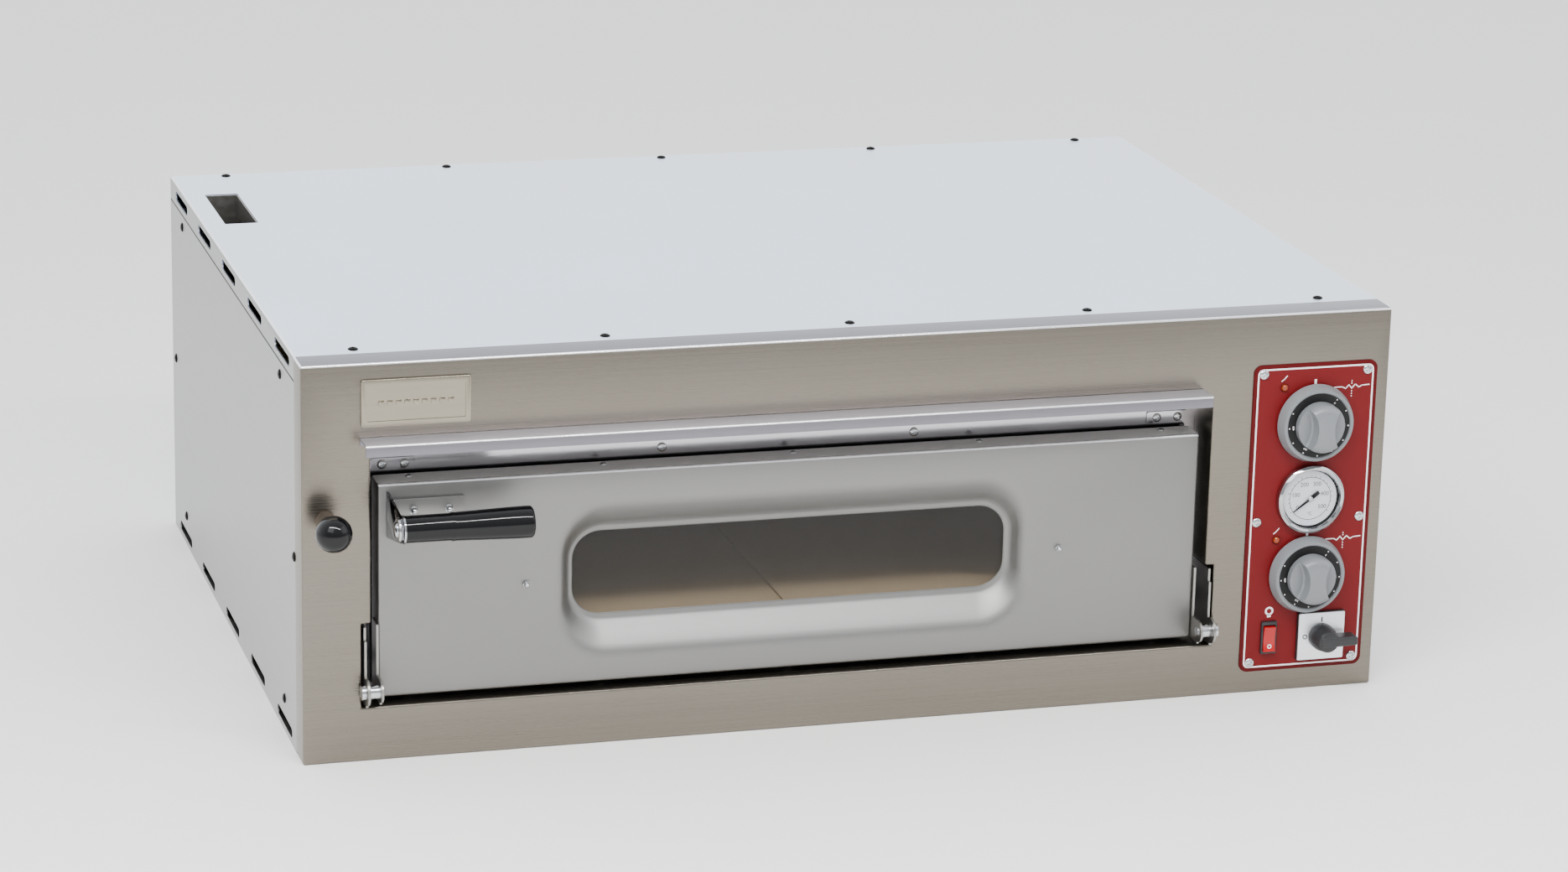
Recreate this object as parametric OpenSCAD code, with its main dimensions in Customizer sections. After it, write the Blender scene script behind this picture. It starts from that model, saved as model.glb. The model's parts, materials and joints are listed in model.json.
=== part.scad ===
// Countertop pizza oven with one baking chamber. Millimetres, +Z up.
// The origin is the middle of the cabinet's base face. The front faces -Y.
// Depths, named d, are measured back from the face of the front panel, so a proud piece has a negative d.

/* [Cabinet] */
// Overall width
cabinet_w = 1000; // [950:5:1250]
// Overall depth, front panel to back panel
cabinet_d = 715; // [640:5:900]
// Overall height
cabinet_h = 360; // [335:5:450]
// Thickness of the cabinet sheet
skin = 1.2; // [0.8:0.1:2]
// Depth of the front panel's returns along the sides and the top
return_d = 32; // [24:1:40]
// Depth of the flange that the top cover laps over
lap_d = 24; // [18:1:30]
// Height of the top cover's side edges
edge_h = 23; // [18:1:30]
// Height of the base pan's side edges
base_edge_h = 20; // [16:1:28]
// Length of a cooling slot
vent_l = 73; // [40:1:90]
// Height of a cooling slot
vent_h = 9; // [5:0.5:12]
// Number of cooling slots in each edge
vents = 5; // [3:1:7]
// Distance from the front or back to the middle of the nearest slot or corner screw
vent_inset = 90; // [75:1:110]

/* [Door opening] */
// Width of the opening in the front panel
opening_w = 771; // [760:1:790]
// Height of the opening
opening_h = 236; // [230:1:250]
// Distance from the left side of the cabinet to the opening
opening_left = 60; // [55:1:70]
// Height of the opening's sill above the base
opening_z = 49; // [40:1:60]
// Depth at which the chamber's front frame stands
frame_depth = 43; // [43:1:60]
// Distance that the drip hood stands out
hood_d = 27; // [15:1:40]
// Height of the drip hood's lip
hood_lip = 10; // [6:1:16]
// Height of the drip hood above the top of the opening
hood_rise = 9; // [6:1:14]

/* [Door] */
// Gap between the door and each side of the opening
door_gap = 8; // [7:0.5:10]
// Gap between the sill and the door
sill_gap = 5.2; // [4:0.2:8]
// Height of the door
door_h = 194.4; // [190:0.2:200]
// Thickness of the door
door_t = 28; // [26:1:30]
// Distance from the front panel's face back to the door's face
door_recess = 10; // [8:1:12]
// Thickness of the door's sheets
door_skin = 1; // [0.8:0.1:1.5]
// Width of the window
window_w = 400; // [300:5:460]
// Height of the window
window_h = 76; // [60:1:84]
// Corner radius of the window
window_r = 25; // [12:1:30]
// Depth of the pressing around the window
press_d = 18; // [10:1:18]
// Flat rim around the window
rim = 5; // [3:1:8]
// Width of the pressing's slope above and below the window
press_slope_h = 21; // [10:1:26]
// Width of the pressing's slope at the ends of the window
press_slope_w = 7; // [5:1:12]
// Thickness of the window glass
glass_t = 4; // [3:0.5:5]
// Distance that the hinge axis stands in front of the front panel
hinge_proud = 8; // [6:1:10]
// Height of the hinge axis above the sill
hinge_rise = 17; // [15:1:22]
// Radius of the hinge pins
hinge_pin_r = 4; // [3:0.5:5]
// Thickness of the hinge plates
hinge_plate = 2; // [1.5:0.5:3]

/* [Handle] */
// Distance from the door's left edge to the handle's fin
handle_left = 10; // [6:1:20]
// Distance from the door's top edge down to the handle's axis
handle_drop = 24; // [22:1:40]
// Distance from the door's face to the handle's axis
handle_reach = 57; // [45:1:60]
// Length of the grip
grip_l = 114; // [90:1:140]
// Radius of the grip at its free end
grip_r = 14; // [10:0.5:16]

/* [Chamber] */
// Inside width of the chamber
chamber_w = 720; // [680:5:725]
// Inside depth of the chamber
chamber_d = 600; // [520:5:610]
// Height of the chamber's floor sheet above the base
chamber_z = 62; // [50:1:70]
// Inside height of the chamber, floor sheet to ceiling
chamber_h = 188; // [180:1:195]
// Thickness of the baking stones
stone_t = 14; // [10:1:20]
// Height of the rails that carry the stones
rail_h = 28; // [24:1:34]
// Radius of the heating elements
element_r = 4; // [3:0.25:5]
// Distance between the two legs of one element
element_span = 110; // [80:5:140]
// Thickness of the insulation
wool = 28; // [20:1:30]
// Height of the gap between the blanket and the base
wool_gap = 12; // [8:1:16]

/* [Flue] */
// Width of the flue
flue_w = 32; // [24:1:34]
// Length of the flue, front to back
flue_l = 121; // [90:1:130]
// Distance from the left side of the cabinet to the flue
flue_left = 20.5; // [19:0.5:24]
// Depth at which the flue starts
flue_depth = 510; // [480:1:515]
// Height of the damper rod's axis
rod_z = 222; // [215:1:226]
// Radius of the damper rod
rod_r = 4; // [3:0.5:5]
// Radius of the damper's ball knob
ball_r = 16; // [12:0.5:20]

/* [Controls] */
// Width of the control plate
plate_w = 120; // [116:1:130]
// Height of the control plate
plate_h = 292; // [286:1:300]
// Distance from the right side of the cabinet to the middle of the control plate
plate_right = 71.5; // [68:0.5:76]
// Height of the middle of the control plate
plate_z = 166.5; // [160:0.5:175]
// Distance between the middles of the two thermostat knobs
knob_pitch = 144.4; // [138:0.2:150]
// Radius of a thermostat knob's skirt
knob_r = 36.5; // [30:0.5:37]
// Radius of a thermostat knob's grip
knob_grip_r = 22.5; // [18:0.5:25]
// Radius of the pyrometer's bezel
pyrometer_r = 32.5; // [26:0.5:34]
// Side of the main switch's square plate
switch_w = 45; // [40:1:48]

/* [Hidden] */
$fn = 64;
left_x = -cabinet_w / 2;
right_x = cabinet_w / 2;
front_y = -cabinet_d / 2;
fit = 0.05;            // radial running clearance of a pin in its bore
slip = 0.3;            // clearance of a piece that slides or turns beside another
tiny = 0.01;
vent_pitch = (cabinet_d - 2 * vent_inset + 21) / (vents - 1);
// door opening and door
open_x0 = left_x + opening_left;
open_x1 = open_x0 + opening_w;
open_mid = (open_x0 + open_x1) / 2;
open_top = opening_z + opening_h;
door_x0 = open_x0 + door_gap;
door_x1 = open_x1 - door_gap;
door_z0 = opening_z + sill_gap;
door_z1 = door_z0 + door_h;
press_r = 40;
edge_screw_d = 18;
door_back = door_recess + door_t;
window_z = door_z0 + door_h / 2 - 2;
press_w = window_w + 2 * (rim + press_slope_w);
press_h = window_h + 2 * (rim + press_slope_h);
hinge_z = opening_z + hinge_rise;
notch_w = 8.5;         // width of the corner notch that lets a hinge bracket through
notch_h = 77;
bracket_x = 4;         // distance from the opening's edge out to a hinge bracket
nose_r = 12;           // radius of a hinge bracket's nose
spacer_r = 6;
// handle
fin_x = door_x0 + handle_left;
grip_z = door_z1 - handle_drop;
grip_y = front_y + door_recess - handle_reach;
fin_t = 2.5;
// chamber
frame_t = 1.2;
shell = 1;
chamber_x0 = open_mid - chamber_w / 2;
chamber_x1 = open_mid + chamber_w / 2;
chamber_y0 = front_y + frame_depth + frame_t;
chamber_top = chamber_z + chamber_h;
mouth_z0 = chamber_z + rail_h + 6;
mouth_z1 = door_z1 - 9;
stone_top = chamber_z + rail_h + stone_t;
wall_x = chamber_x1 + shell + wool + 2;     // the wall of the electrical compartment
lower_z = chamber_z + rail_h / 2;
upper_z = chamber_top - 12;
element_ys = [chamber_y0 + chamber_d * 0.25, chamber_y0 + chamber_d * 0.74];
lamp_y = chamber_y0 + chamber_d * 0.5;
lamp_z = chamber_z + chamber_h * 0.62;
// flue
flue_x0 = left_x + flue_left;
flue_y0 = front_y + flue_depth;
duct_t = 1;
blade_t = 1.5;
blade_z = rod_z - 7.5;
inlet_z0 = blade_z - 62;
inlet_z1 = blade_z - 14;
rod_x = flue_x0;
damper_travel = flue_l - 2;
tab_y = flue_y0 - 20;  // the blade's upturned end, with the damper shut
ball_proud = 40;
// controls
panel_x = right_x - plate_right;
plate_t = 1.5;
plate_r = 8;
knob_zs = [plate_z + 18.3 + knob_pitch / 2, plate_z + 18.3 - knob_pitch / 2];
pyrometer_z = plate_z + 18.3;
knob_gap = 2.5;
spindle_r = 3;
bush_r = 5;
rocker_at = [panel_x - 33.2, plate_z - 113.4];
switch_at = [panel_x + 17.6, plate_z - 114.4];
lamp_at = [panel_x - 30.4, 34];
screw_r = 2;
head_r = 4.6;
head_t = 1.8;

// ---- places and shapes that repeat ----
function spread(n, from, to) = [for (i = [0:n - 1]) from + (to - from) * i / (n - 1)];
cover_xs = spread(5, left_x + 54, right_x - 54);
side_zs = [base_edge_h + 11, plate_z + 13, cabinet_h - edge_h - 11];
side_ds = [[vent_inset, cabinet_d - 75], [36, cabinet_d - 22], [vent_inset + 10, cabinet_d - 73]];
side_screws = [for (i = [0:2], j = [0:1]) [front_y + side_ds[i][j], side_zs[i]]];
vent_ys = [for (i = [0:vents - 1]) front_y + vent_inset + i * vent_pitch];
edge_xs = spread(5, door_x0 + 31, door_x1 - 31);
element_legs = [for (y = element_ys, s = [-1, 1]) y + s * element_span / 2];
plate_screws = [for (x = [-50.2, 50.2], z = [-137.3, -2.3, 137.3]) [panel_x + x, plate_z + z]];

module rounded(w, h, r) {
    square([w, h - 2 * r], center = true);
    square([w - 2 * r, h], center = true);
    for (x = [-1, 1], y = [-1, 1]) translate([x * (w / 2 - r), y * (h / 2 - r)]) circle(r);
}

module obround(l, h) {
    square([l - h, h], center = true);
    for (x = [-1, 1]) translate([x * (l - h) / 2, 0]) circle(h / 2);
}

// a flat shape drawn as x and z, filling depths d to d + t
module facing(d, t) {
    translate([0, front_y + d + t, 0]) rotate([90, 0, 0]) linear_extrude(t) children();
}

// a flat shape drawn as y and z, filling x to x + t
module sideways(x, t) {
    translate([x, 0, 0]) rotate([90, 0, 90]) linear_extrude(t) children();
}

// a round bar along y that fills depths d to d + l
module bar_y(x, z, d, l, r) {
    translate([x, front_y + d, z]) rotate([-90, 0, 0]) cylinder(l, r = r);
}

module bar_x(x, y, z, l, r) {
    translate([x, y, z]) rotate([0, 90, 0]) cylinder(l, r = r);
}

module box(x0, x1, d0, d1, z0, z1) {
    translate([x0, front_y + d0, z0]) cube([x1 - x0, d1 - d0, z1 - z0]);
}

// a pan-head screw that points down -Z, with the underside of its head at the origin
module screw(shank) {
    cylinder(head_t, r = head_r);
    translate([0, 0, -shank]) cylinder(shank + tiny, r = screw_r);
}

module screw_side(side, y, z) {
    translate([side * cabinet_w / 2, y, z]) rotate([0, side * 90, 0]) screw(7);
}

// ---- cabinet ----
module base_pan() {
    color("lightgray") difference() {
        union() {
            box(left_x, right_x, return_d, cabinet_d, 0, skin);
            for (s = [0, 1]) mirror([s, 0, 0])
                box(left_x, left_x + skin, return_d, cabinet_d, 0, base_edge_h);
            box(left_x + skin, right_x - skin, return_d, return_d + skin, 0, base_edge_h);
        }
        for (y = vent_ys) translate([left_x - 1, y, base_edge_h / 2])
            rotate([90, 0, 90]) linear_extrude(cabinet_w + 2) obround(vent_l, vent_h);
    }
}

module front_panel() {
    x0 = left_x + skin;
    x1 = right_x - skin;
    deep = frame_depth;
    color("silver") difference() {
        union() {
            facing(0, skin) translate([left_x, 0]) square([cabinet_w, cabinet_h]);
            for (s = [0, 1]) mirror([s, 0, 0]) box(left_x, x0, 0, return_d, 0, cabinet_h);
            box(x0, x1, 0, return_d, cabinet_h - skin, cabinet_h);
            box(x0, x1, return_d - 3, return_d + lap_d, cabinet_h - 2 * skin, cabinet_h - skin);
            box(x0, x1, 0, return_d, 0, skin);
            box(open_x0 - skin, open_x1 + skin, 0, deep, opening_z - skin, open_top + skin);
        }
        box(open_x0, open_x1, -1, deep + 1, opening_z, open_top);
        for (x = [open_x0 - notch_w, open_x1 - skin])
            box(x, x + notch_w + skin, -1, deep + 1, opening_z, opening_z + notch_h);
        for (x = cover_xs)
            translate([x, front_y + return_d + 14, cabinet_h - 4]) cylinder(5, r = screw_r + 0.2);
        bar_y(rod_x, rod_z, -1, 4, rod_r + 2.5);
        for (z = knob_zs) bar_y(panel_x, z, -1, 4, bush_r + fit);
        bar_y(panel_x, pyrometer_z, -1, 4, pyrometer_r - 2);
        for (z = knob_zs) bar_y(lamp_at[0], z + lamp_at[1], -1, 4, 3.2);
        for (p = plate_screws) bar_y(p[0], p[1], -1, 4, screw_r + 0.2);
        bar_y(switch_at[0], switch_at[1], -1, 4, 11);
        facing(-1, 4) translate(rocker_at) square([12.4, 28.2], center = true);
    }
}

module top_cover() {
    color("gainsboro") difference() {
        union() {
            box(left_x, right_x, return_d, cabinet_d, cabinet_h - skin, cabinet_h);
            for (s = [0, 1]) mirror([s, 0, 0])
                box(left_x, left_x + skin, return_d, cabinet_d, cabinet_h - edge_h, cabinet_h);
        }
        box(flue_x0, flue_x0 + flue_w, flue_depth, flue_depth + flue_l, cabinet_h - 3, cabinet_h + 1);
        for (y = vent_ys) translate([left_x - 1, y, cabinet_h - 11])
            rotate([90, 0, 90]) linear_extrude(cabinet_w + 2) obround(vent_l, vent_h);
        for (x = cover_xs, d = [return_d + 14, cabinet_d - 8])
            translate([x, front_y + d, cabinet_h - 4]) cylinder(5, r = screw_r + 0.2);
    }
}

module side_panel() {
    color("gainsboro") difference() {
        box(left_x, left_x + skin, return_d, cabinet_d, base_edge_h, cabinet_h - edge_h);
        for (p = side_screws) bar_x(left_x - 1, p[0], p[1], 4, screw_r + 0.2);
    }
}

module side_panels() {
    for (s = [0, 1]) mirror([s, 0, 0]) side_panel();
}

gland_at = [panel_x - 8, 60];
back_screws = [for (x = spread(4, left_x + 40, right_x - 40), z = [30, cabinet_h - 34]) [x, z]];

module back_panel() {
    x0 = left_x + skin;
    x1 = right_x - skin;
    color("gainsboro") difference() {
        union() {
            box(x0, x1, cabinet_d - skin, cabinet_d, skin, cabinet_h - skin);
            box(x0, x1, cabinet_d - 18, cabinet_d, cabinet_h - 2 * skin, cabinet_h - skin);
            box(x0, x1, cabinet_d - 18, cabinet_d, skin, 2 * skin);
        }
        for (x = cover_xs)
            translate([x, front_y + cabinet_d - 8, cabinet_h - 4]) cylinder(5, r = screw_r + 0.2);
        bar_y(gland_at[0], gland_at[1], cabinet_d - 4, 6, 12.1);
        for (x = spread(9, panel_x - 45, panel_x + 45), z = [200, 260])
            facing(cabinet_d - 4, 6) translate([x, z]) rotate(90) obround(40, 5);
        for (p = back_screws) bar_y(p[0], p[1], cabinet_d - 4, 6, screw_r + 0.2);
    }
}

module cabinet_screws() {
    color("dimgray") {
        for (x = cover_xs, d = [return_d + 14, cabinet_d - 8])
            translate([x, front_y + d, cabinet_h]) screw(6);
        for (s = [-1, 1], p = side_screws) screw_side(s, p[0], p[1]);
        for (p = back_screws) translate([p[0], front_y + cabinet_d, p[1]]) rotate([-90, 0, 0]) screw(7);
    }
}

// a folded ledge over the door, with a lip along its front
module drip_hood() {
    z = open_top + hood_rise;
    x0 = open_x0 - 9;
    x1 = open_x1 - 11;
    color("silver") {
        box(x0, x1, -hood_d, 0, z - skin, z);
        box(x0, x1, -hood_d, -hood_d + skin, z - hood_lip, z);
        box(x0, x1, -skin, 0, z - 7, z);
    }
}

module nameplate() {
    color("beige") difference() {
        facing(-3, 3) translate([left_x + 99.5, 324.5]) rounded(96, 42, 2.5);
        facing(-4, 2.5) translate([left_x + 99.5, 324.5]) rounded(90, 36, 1.5);
    }
}

// ---- chamber ----
support_ds = [frame_depth + 120, frame_depth + chamber_d - 120];

module support(d, grow) {
    box(chamber_x0 + 4 - grow, chamber_x1 - 4 + grow, d - 15 - grow, d + 15 + grow,
        skin - grow, chamber_z - shell);
}

module chamber_supports() {
    color("silver") for (d = support_ds) difference() {
        support(d, 0);
        box(chamber_x0, chamber_x1, d - 13.5, d + 13.5, skin - 1, chamber_z - shell - 1.5);
    }
}

module shell_box(grow, extra) {
    translate([chamber_x0 - grow, chamber_y0, chamber_z - grow])
        cube([chamber_w + 2 * grow, chamber_d + extra, chamber_h + 2 * grow]);
}

module leg_holes(r) {
    for (y = element_legs, z = [lower_z, upper_z]) bar_x(chamber_x1 - 2, y, z, wool + 8, r);
    bar_x(chamber_x1 - 2, lamp_y, lamp_z, wool + 8, 24);
}

module shell_body() {
    difference() {
        shell_box(shell, shell);
        translate([0, -1, 0]) shell_box(0, 1);
        leg_holes(element_r + 0.4);
        flue_passage(chamber_x0 - 3, chamber_x0 + 3);
    }
}

// the space taken by the chamber's left wall, which is a separate sheet
module left_wall_zone() {
    translate([chamber_x0 - shell - 1, front_y, 0]) cube([shell + 1, cabinet_d, cabinet_h]);
}

module chamber_shell() {
    color("dimgray") difference() {
        shell_body();
        left_wall_zone();
    }
}

module chamber_flue_wall() {
    color("dimgray") intersection() {
        shell_body();
        left_wall_zone();
    }
}

module chamber_front_frame() {
    color("silver") difference() {
        facing(frame_depth, frame_t) translate([open_x0 - 22, opening_z - 12])
            square([opening_w + 44, opening_h + 24]);
        box(chamber_x0, chamber_x1, frame_depth - 1, frame_depth + 4, mouth_z0, mouth_z1);
        for (p = frame_screw_places) bar_y(p[0], p[1], frame_depth - 1, 4, screw_r + 0.2);
    }
}

clip_xs = [open_x0 + 28, open_x1 - 28];
clip_z = door_z1 + 8;
frame_screw_places = concat(
    [for (x = clip_xs, s = [-1, 1]) [x + s * 10, clip_z]],
    [for (s = [-1, 1]) [open_mid + s * 116.5, clip_z]],
    [for (x = [open_x0 - bracket_x - 9, open_x1 + bracket_x + 9], z = [20, 62]) [x, opening_z + z]]);

module frame_clips() {
    color("silver") for (x = clip_xs) difference() {
        facing(frame_depth - 1.5, 1.5) translate([x, clip_z]) rounded(39, 11, 2);
        for (s = [-1, 1]) bar_y(x + s * 10, clip_z, frame_depth - 4, 6, screw_r + 0.2);
    }
}

module frame_screws() {
    color("dimgray") for (i = [0:len(frame_screw_places) - 1]) {
        p = frame_screw_places[i];
        under = i < 4 ? 1.5 : (i < 6 ? 0 : hinge_plate);
        translate([p[0], front_y + frame_depth - under, p[1]]) rotate([90, 0, 0]) scale(0.9) screw(8);
    }
}

module chamber_insulation() {
    color("khaki") difference() {
        translate([chamber_x0 - shell - wool, chamber_y0 + 8, wool_gap])
            cube([chamber_w + 2 * (shell + wool), chamber_d + shell + wool - 6,
                chamber_top + shell + wool - wool_gap]);
        shell_box(shell, shell);
        for (d = support_ds) support(d, 1);
        leg_holes(element_r + 1);
        translate([chamber_x0 - 3 * wool, flue_y0, inlet_z0]) cube([3 * wool, flue_l, inlet_z1 - inlet_z0]);
    }
}

rail_ds = [frame_depth + frame_t + 14, frame_depth + frame_t + chamber_d / 2,
    frame_depth + frame_t + chamber_d - 14];

module stone_rails() {
    color("gray") for (d = rail_ds) difference() {
        box(chamber_x0 + 2, chamber_x1 - 2, d - 10, d + 10, chamber_z, chamber_z + rail_h);
        box(chamber_x0, chamber_x1, d - 8, d + 8, chamber_z - 1, chamber_z + rail_h - 2);
    }
}

module baking_stones() {
    w = (chamber_w - 8) / 2;
    l = (chamber_d - 8) / 2;
    color("tan") for (i = [0, 1], j = [0, 1])
        translate([chamber_x0 + 3 + i * (w + 2), chamber_y0 + 3 + j * (l + 2), stone_top - stone_t])
            cube([w, l, stone_t]);
}

// a hairpin element: two legs along x joined by a half turn, with its terminals past the right wall
module hairpin(y, z) {
    bend_x = chamber_x0 + 30 + element_span / 2;
    l = wall_x + 14 - bend_x;
    for (s = [-1, 1]) bar_x(bend_x, y + s * element_span / 2, z, l, element_r);
    translate([bend_x, y, z]) rotate([0, 0, 90]) rotate_extrude(angle = 180)
        translate([element_span / 2, 0]) circle(element_r);
}

module lower_elements() {
    color("slategray") for (y = element_ys) hairpin(y, lower_z);
}

module upper_elements() {
    color("slategray") for (y = element_ys) hairpin(y, upper_z);
}

module heating_elements() {
    lower_elements();
    upper_elements();
}

module lamp_holder() {
    color("silver") difference() {
        union() {
            bar_x(chamber_x1 + shell, lamp_y, lamp_z, wool + 1, 23.5);
            bar_x(wall_x + 1.2, lamp_y, lamp_z, 3, 30);
            bar_x(chamber_x1 + shell, lamp_y, lamp_z, wool + 12, 16);
        }
        bar_x(chamber_x1 - 1, lamp_y, lamp_z, wool, 20);
    }
}

module lamp_glass() {
    color("white") difference() {
        union() {
            bar_x(chamber_x1 - 12, lamp_y, lamp_z, 12 + wool / 2, 19.7);
            bar_x(chamber_x1 - 3, lamp_y, lamp_z, 3, 28);
        }
        bar_x(chamber_x1 - 9, lamp_y, lamp_z, wool + 12, 17);
    }
}

module sensor_bulbs() {
    color("peru") for (z = [stone_top + 12, chamber_top - 36, chamber_top - 50])
        bar_y(chamber_x1 - 5, z, frame_depth + 60, 120, 3);
}

// ---- flue and damper ----
// the space that the fumes take from the chamber's left wall into the duct
module flue_passage(x0, x1) {
    translate([x0, flue_y0 + duct_t, inlet_z0 + duct_t])
        cube([x1 - x0, flue_l - 2 * duct_t, inlet_z1 - inlet_z0 - 2 * duct_t]);
}

module flue_neck() {
    neck_x0 = flue_x0 + flue_w;
    neck_x1 = chamber_x0 - shell;
    color("dimgray") difference() {
        translate([neck_x0, flue_y0, inlet_z0]) cube([neck_x1 - neck_x0, flue_l, inlet_z1 - inlet_z0]);
        flue_passage(neck_x0 - 1, neck_x1 + 1);
    }
}

module flue_duct() {
    top = cabinet_h - skin;
    flange_w = 6;
    flange_t = 1.2;
    color("dimgray") union() {
        difference() {
            union() {
                translate([flue_x0, flue_y0, inlet_z0]) cube([flue_w, flue_l, top - inlet_z0]);
                translate([flue_x0 - flange_w, flue_y0 - flange_w, top - flange_t])
                    cube([flue_w + 2 * flange_w, flue_l + 2 * flange_w, flange_t]);
            }
            translate([flue_x0 + duct_t, flue_y0 + duct_t, inlet_z0 + duct_t])
                cube([flue_w - 2 * duct_t, flue_l - 2 * duct_t, top]);
            flue_passage(flue_x0 + duct_t, flue_x0 + flue_w + 1);
            translate([flue_x0 + duct_t, flue_y0 - 1, blade_z - slip])
                cube([flue_w - 2 * duct_t, 4, blade_t + 2 * slip]);
        }
        // the shelf that carries the damper blade while it is pulled out
        translate([flue_x0, flue_y0 - damper_travel - 24, blade_z - slip - 1.2])
            cube([flue_w, damper_travel + 24, 1.2]);
    }
}

module rod_bush() {
    color("dimgray") difference() {
        union() {
            bar_y(rod_x, rod_z, -2, 2, rod_r + 5);
            bar_y(rod_x, rod_z, -2, 12, rod_r + 2.4);
        }
        bar_y(rod_x, rod_z, -3, 14, rod_r + fit);
    }
}

module damper_blade() {
    w = flue_w - 2 * duct_t - 2 * slip;
    color("gray") difference() {
        union() {
            translate([flue_x0 + duct_t + slip, tab_y, blade_z])
                cube([w, flue_l + 20 - duct_t - slip, blade_t]);
            translate([flue_x0 - 8, tab_y, blade_z]) cube([w + 9 + slip, blade_t, 15]);
        }
        bar_y(rod_x, rod_z, tab_y - front_y - 1, 4, 3 + fit);
    }
}

module damper_rod() {
    back = tab_y - front_y;
    color("silver") {
        bar_y(rod_x, rod_z, -ball_proud + 6, back + ball_proud - 6, rod_r);
        bar_y(rod_x, rod_z, back - tiny, blade_t + 7, 3);
        bar_y(rod_x, rod_z, back + blade_t, 5, 5.5);
    }
}

module damper_knob() {
    color("black") difference() {
        translate([rod_x, front_y - ball_proud, rod_z]) rotate([90, 0, 0]) rotate_extrude() intersection() {
            circle(ball_r);
            translate([0, -ball_r]) square([ball_r, 2 * ball_r]);
        }
        bar_y(rod_x, rod_z, -ball_proud + 6, ball_r, rod_r);
    }
}

// ---- controls ----
module compartment_wall() {
    color("silver") difference() {
        box(wall_x, wall_x + 1.2, return_d + 2 * skin, cabinet_d - skin - 20, skin, cabinet_h - 3 * skin - 1);
        leg_holes_through_wall();
    }
}

module leg_holes_through_wall() {
    for (y = element_legs, z = [lower_z, upper_z]) bar_x(wall_x - 1, y, z, 4, element_r + 0.4);
    bar_x(wall_x - 1, lamp_y, lamp_z, 4, 24);
    box(wall_x - 1, wall_x + 3, -1, frame_depth + frame_t + 1, opening_z - 14, open_top + 14);
}

module control_plate() {
    color("firebrick") difference() {
        facing(-plate_t, plate_t) translate([panel_x, plate_z]) rounded(plate_w, plate_h, plate_r);
        for (z = knob_zs) bar_y(panel_x, z, -3, 4, bush_r + fit);
        bar_y(panel_x, pyrometer_z, -3, 4, pyrometer_r - 2);
        for (z = knob_zs) bar_y(lamp_at[0], z + lamp_at[1], -3, 4, 3.2);
        for (p = plate_screws) bar_y(p[0], p[1], -3, 4, screw_r + 0.2);
        bar_y(switch_at[0], switch_at[1], -3, 4, 11);
        facing(-3, 4) translate(rocker_at) square([12.4, 28.2], center = true);
    }
}

module control_plate_screws() {
    color("silver") for (p = plate_screws)
        translate([p[0], front_y - plate_t, p[1]]) rotate([90, 0, 0]) screw(8);
}

module thermostat_bodies() {
    color("gray") for (z = knob_zs) difference() {
        union() {
            facing(skin, 36) translate([panel_x, z]) rounded(42, 42, 4);
            bar_y(panel_x, z, -plate_t, skin + plate_t + 1, bush_r);
        }
        bar_y(panel_x, z, -plate_t - 1, 24, spindle_r + fit);
    }
}

module spindle(z) {
    color("silver") bar_y(panel_x, z, -plate_t - knob_gap - 16, 34, spindle_r);
}

module upper_spindle() {
    spindle(knob_zs[0]);
}

module lower_spindle() {
    spindle(knob_zs[1]);
}

// a skirt with a flat dial ring, and a round grip cut away on both sides of a ridge
module thermostat_knob(z) {
    base = -plate_t - knob_gap;
    color("gray") difference() {
        union() {
            bar_y(panel_x, z, base - 8, 8, knob_r);
            intersection() {
                bar_y(panel_x, z, base - 30, 23, knob_grip_r);
                union() {
                    bar_y(panel_x, z, base - 16, 9, knob_grip_r);
                    facing(base - 30, 23) translate([panel_x, z]) square([18, 60], center = true);
                }
            }
        }
        bar_y(panel_x, z, base - 16, 18, spindle_r);
    }
}

module upper_knob() {
    thermostat_knob(knob_zs[0]);
}

module lower_knob() {
    thermostat_knob(knob_zs[1]);
}

module pyrometer_case() {
    back = 26;
    color("silver") difference() {
        union() {
            bar_y(panel_x, pyrometer_z, -plate_t - 8, 8, pyrometer_r);
            bar_y(panel_x, pyrometer_z, -plate_t - 1, back, pyrometer_r - 2.2);
        }
        bar_y(panel_x, pyrometer_z, -plate_t - 9, 7.5, pyrometer_r - 5);
        bar_y(panel_x, pyrometer_z, -plate_t - 4, 12, 1.5);
    }
}

module pyrometer_dial() {
    color("white") difference() {
        bar_y(panel_x, pyrometer_z, -plate_t - 2.3, 0.8, pyrometer_r - 5.05);
        bar_y(panel_x, pyrometer_z, -plate_t - 4, 4, 1 + fit);
    }
}

module pyrometer_pointer() {
    long = pyrometer_r - 12;
    color("black") {
        bar_y(panel_x, pyrometer_z, -plate_t - 4.2, 6, 1);
        bar_y(panel_x, pyrometer_z, -plate_t - 4.2, 1.4, 3);
        translate([panel_x, 0, pyrometer_z]) rotate([0, -asin(0.6), 0])
            facing(-plate_t - 4.1, 0.8)
                polygon([[-long, 0], [0, 1.3], [long * 0.4, 1.6], [long * 0.4, -1.6], [0, -1.3]]);
    }
}

module pyrometer_glass() {
    color([0.9, 0.95, 1, 0.4]) bar_y(panel_x, pyrometer_z, -plate_t - 7.2, 1.6, pyrometer_r - 5.05);
}

module indicator_lamps() {
    color("orange") for (z = knob_zs) {
        bar_y(lamp_at[0], z + lamp_at[1], -plate_t - 2.4, 2.4, 4);
        bar_y(lamp_at[0], z + lamp_at[1], -plate_t - tiny, 16, 3);
    }
}

rocker_pivot_d = -plate_t + 0.5;

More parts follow.
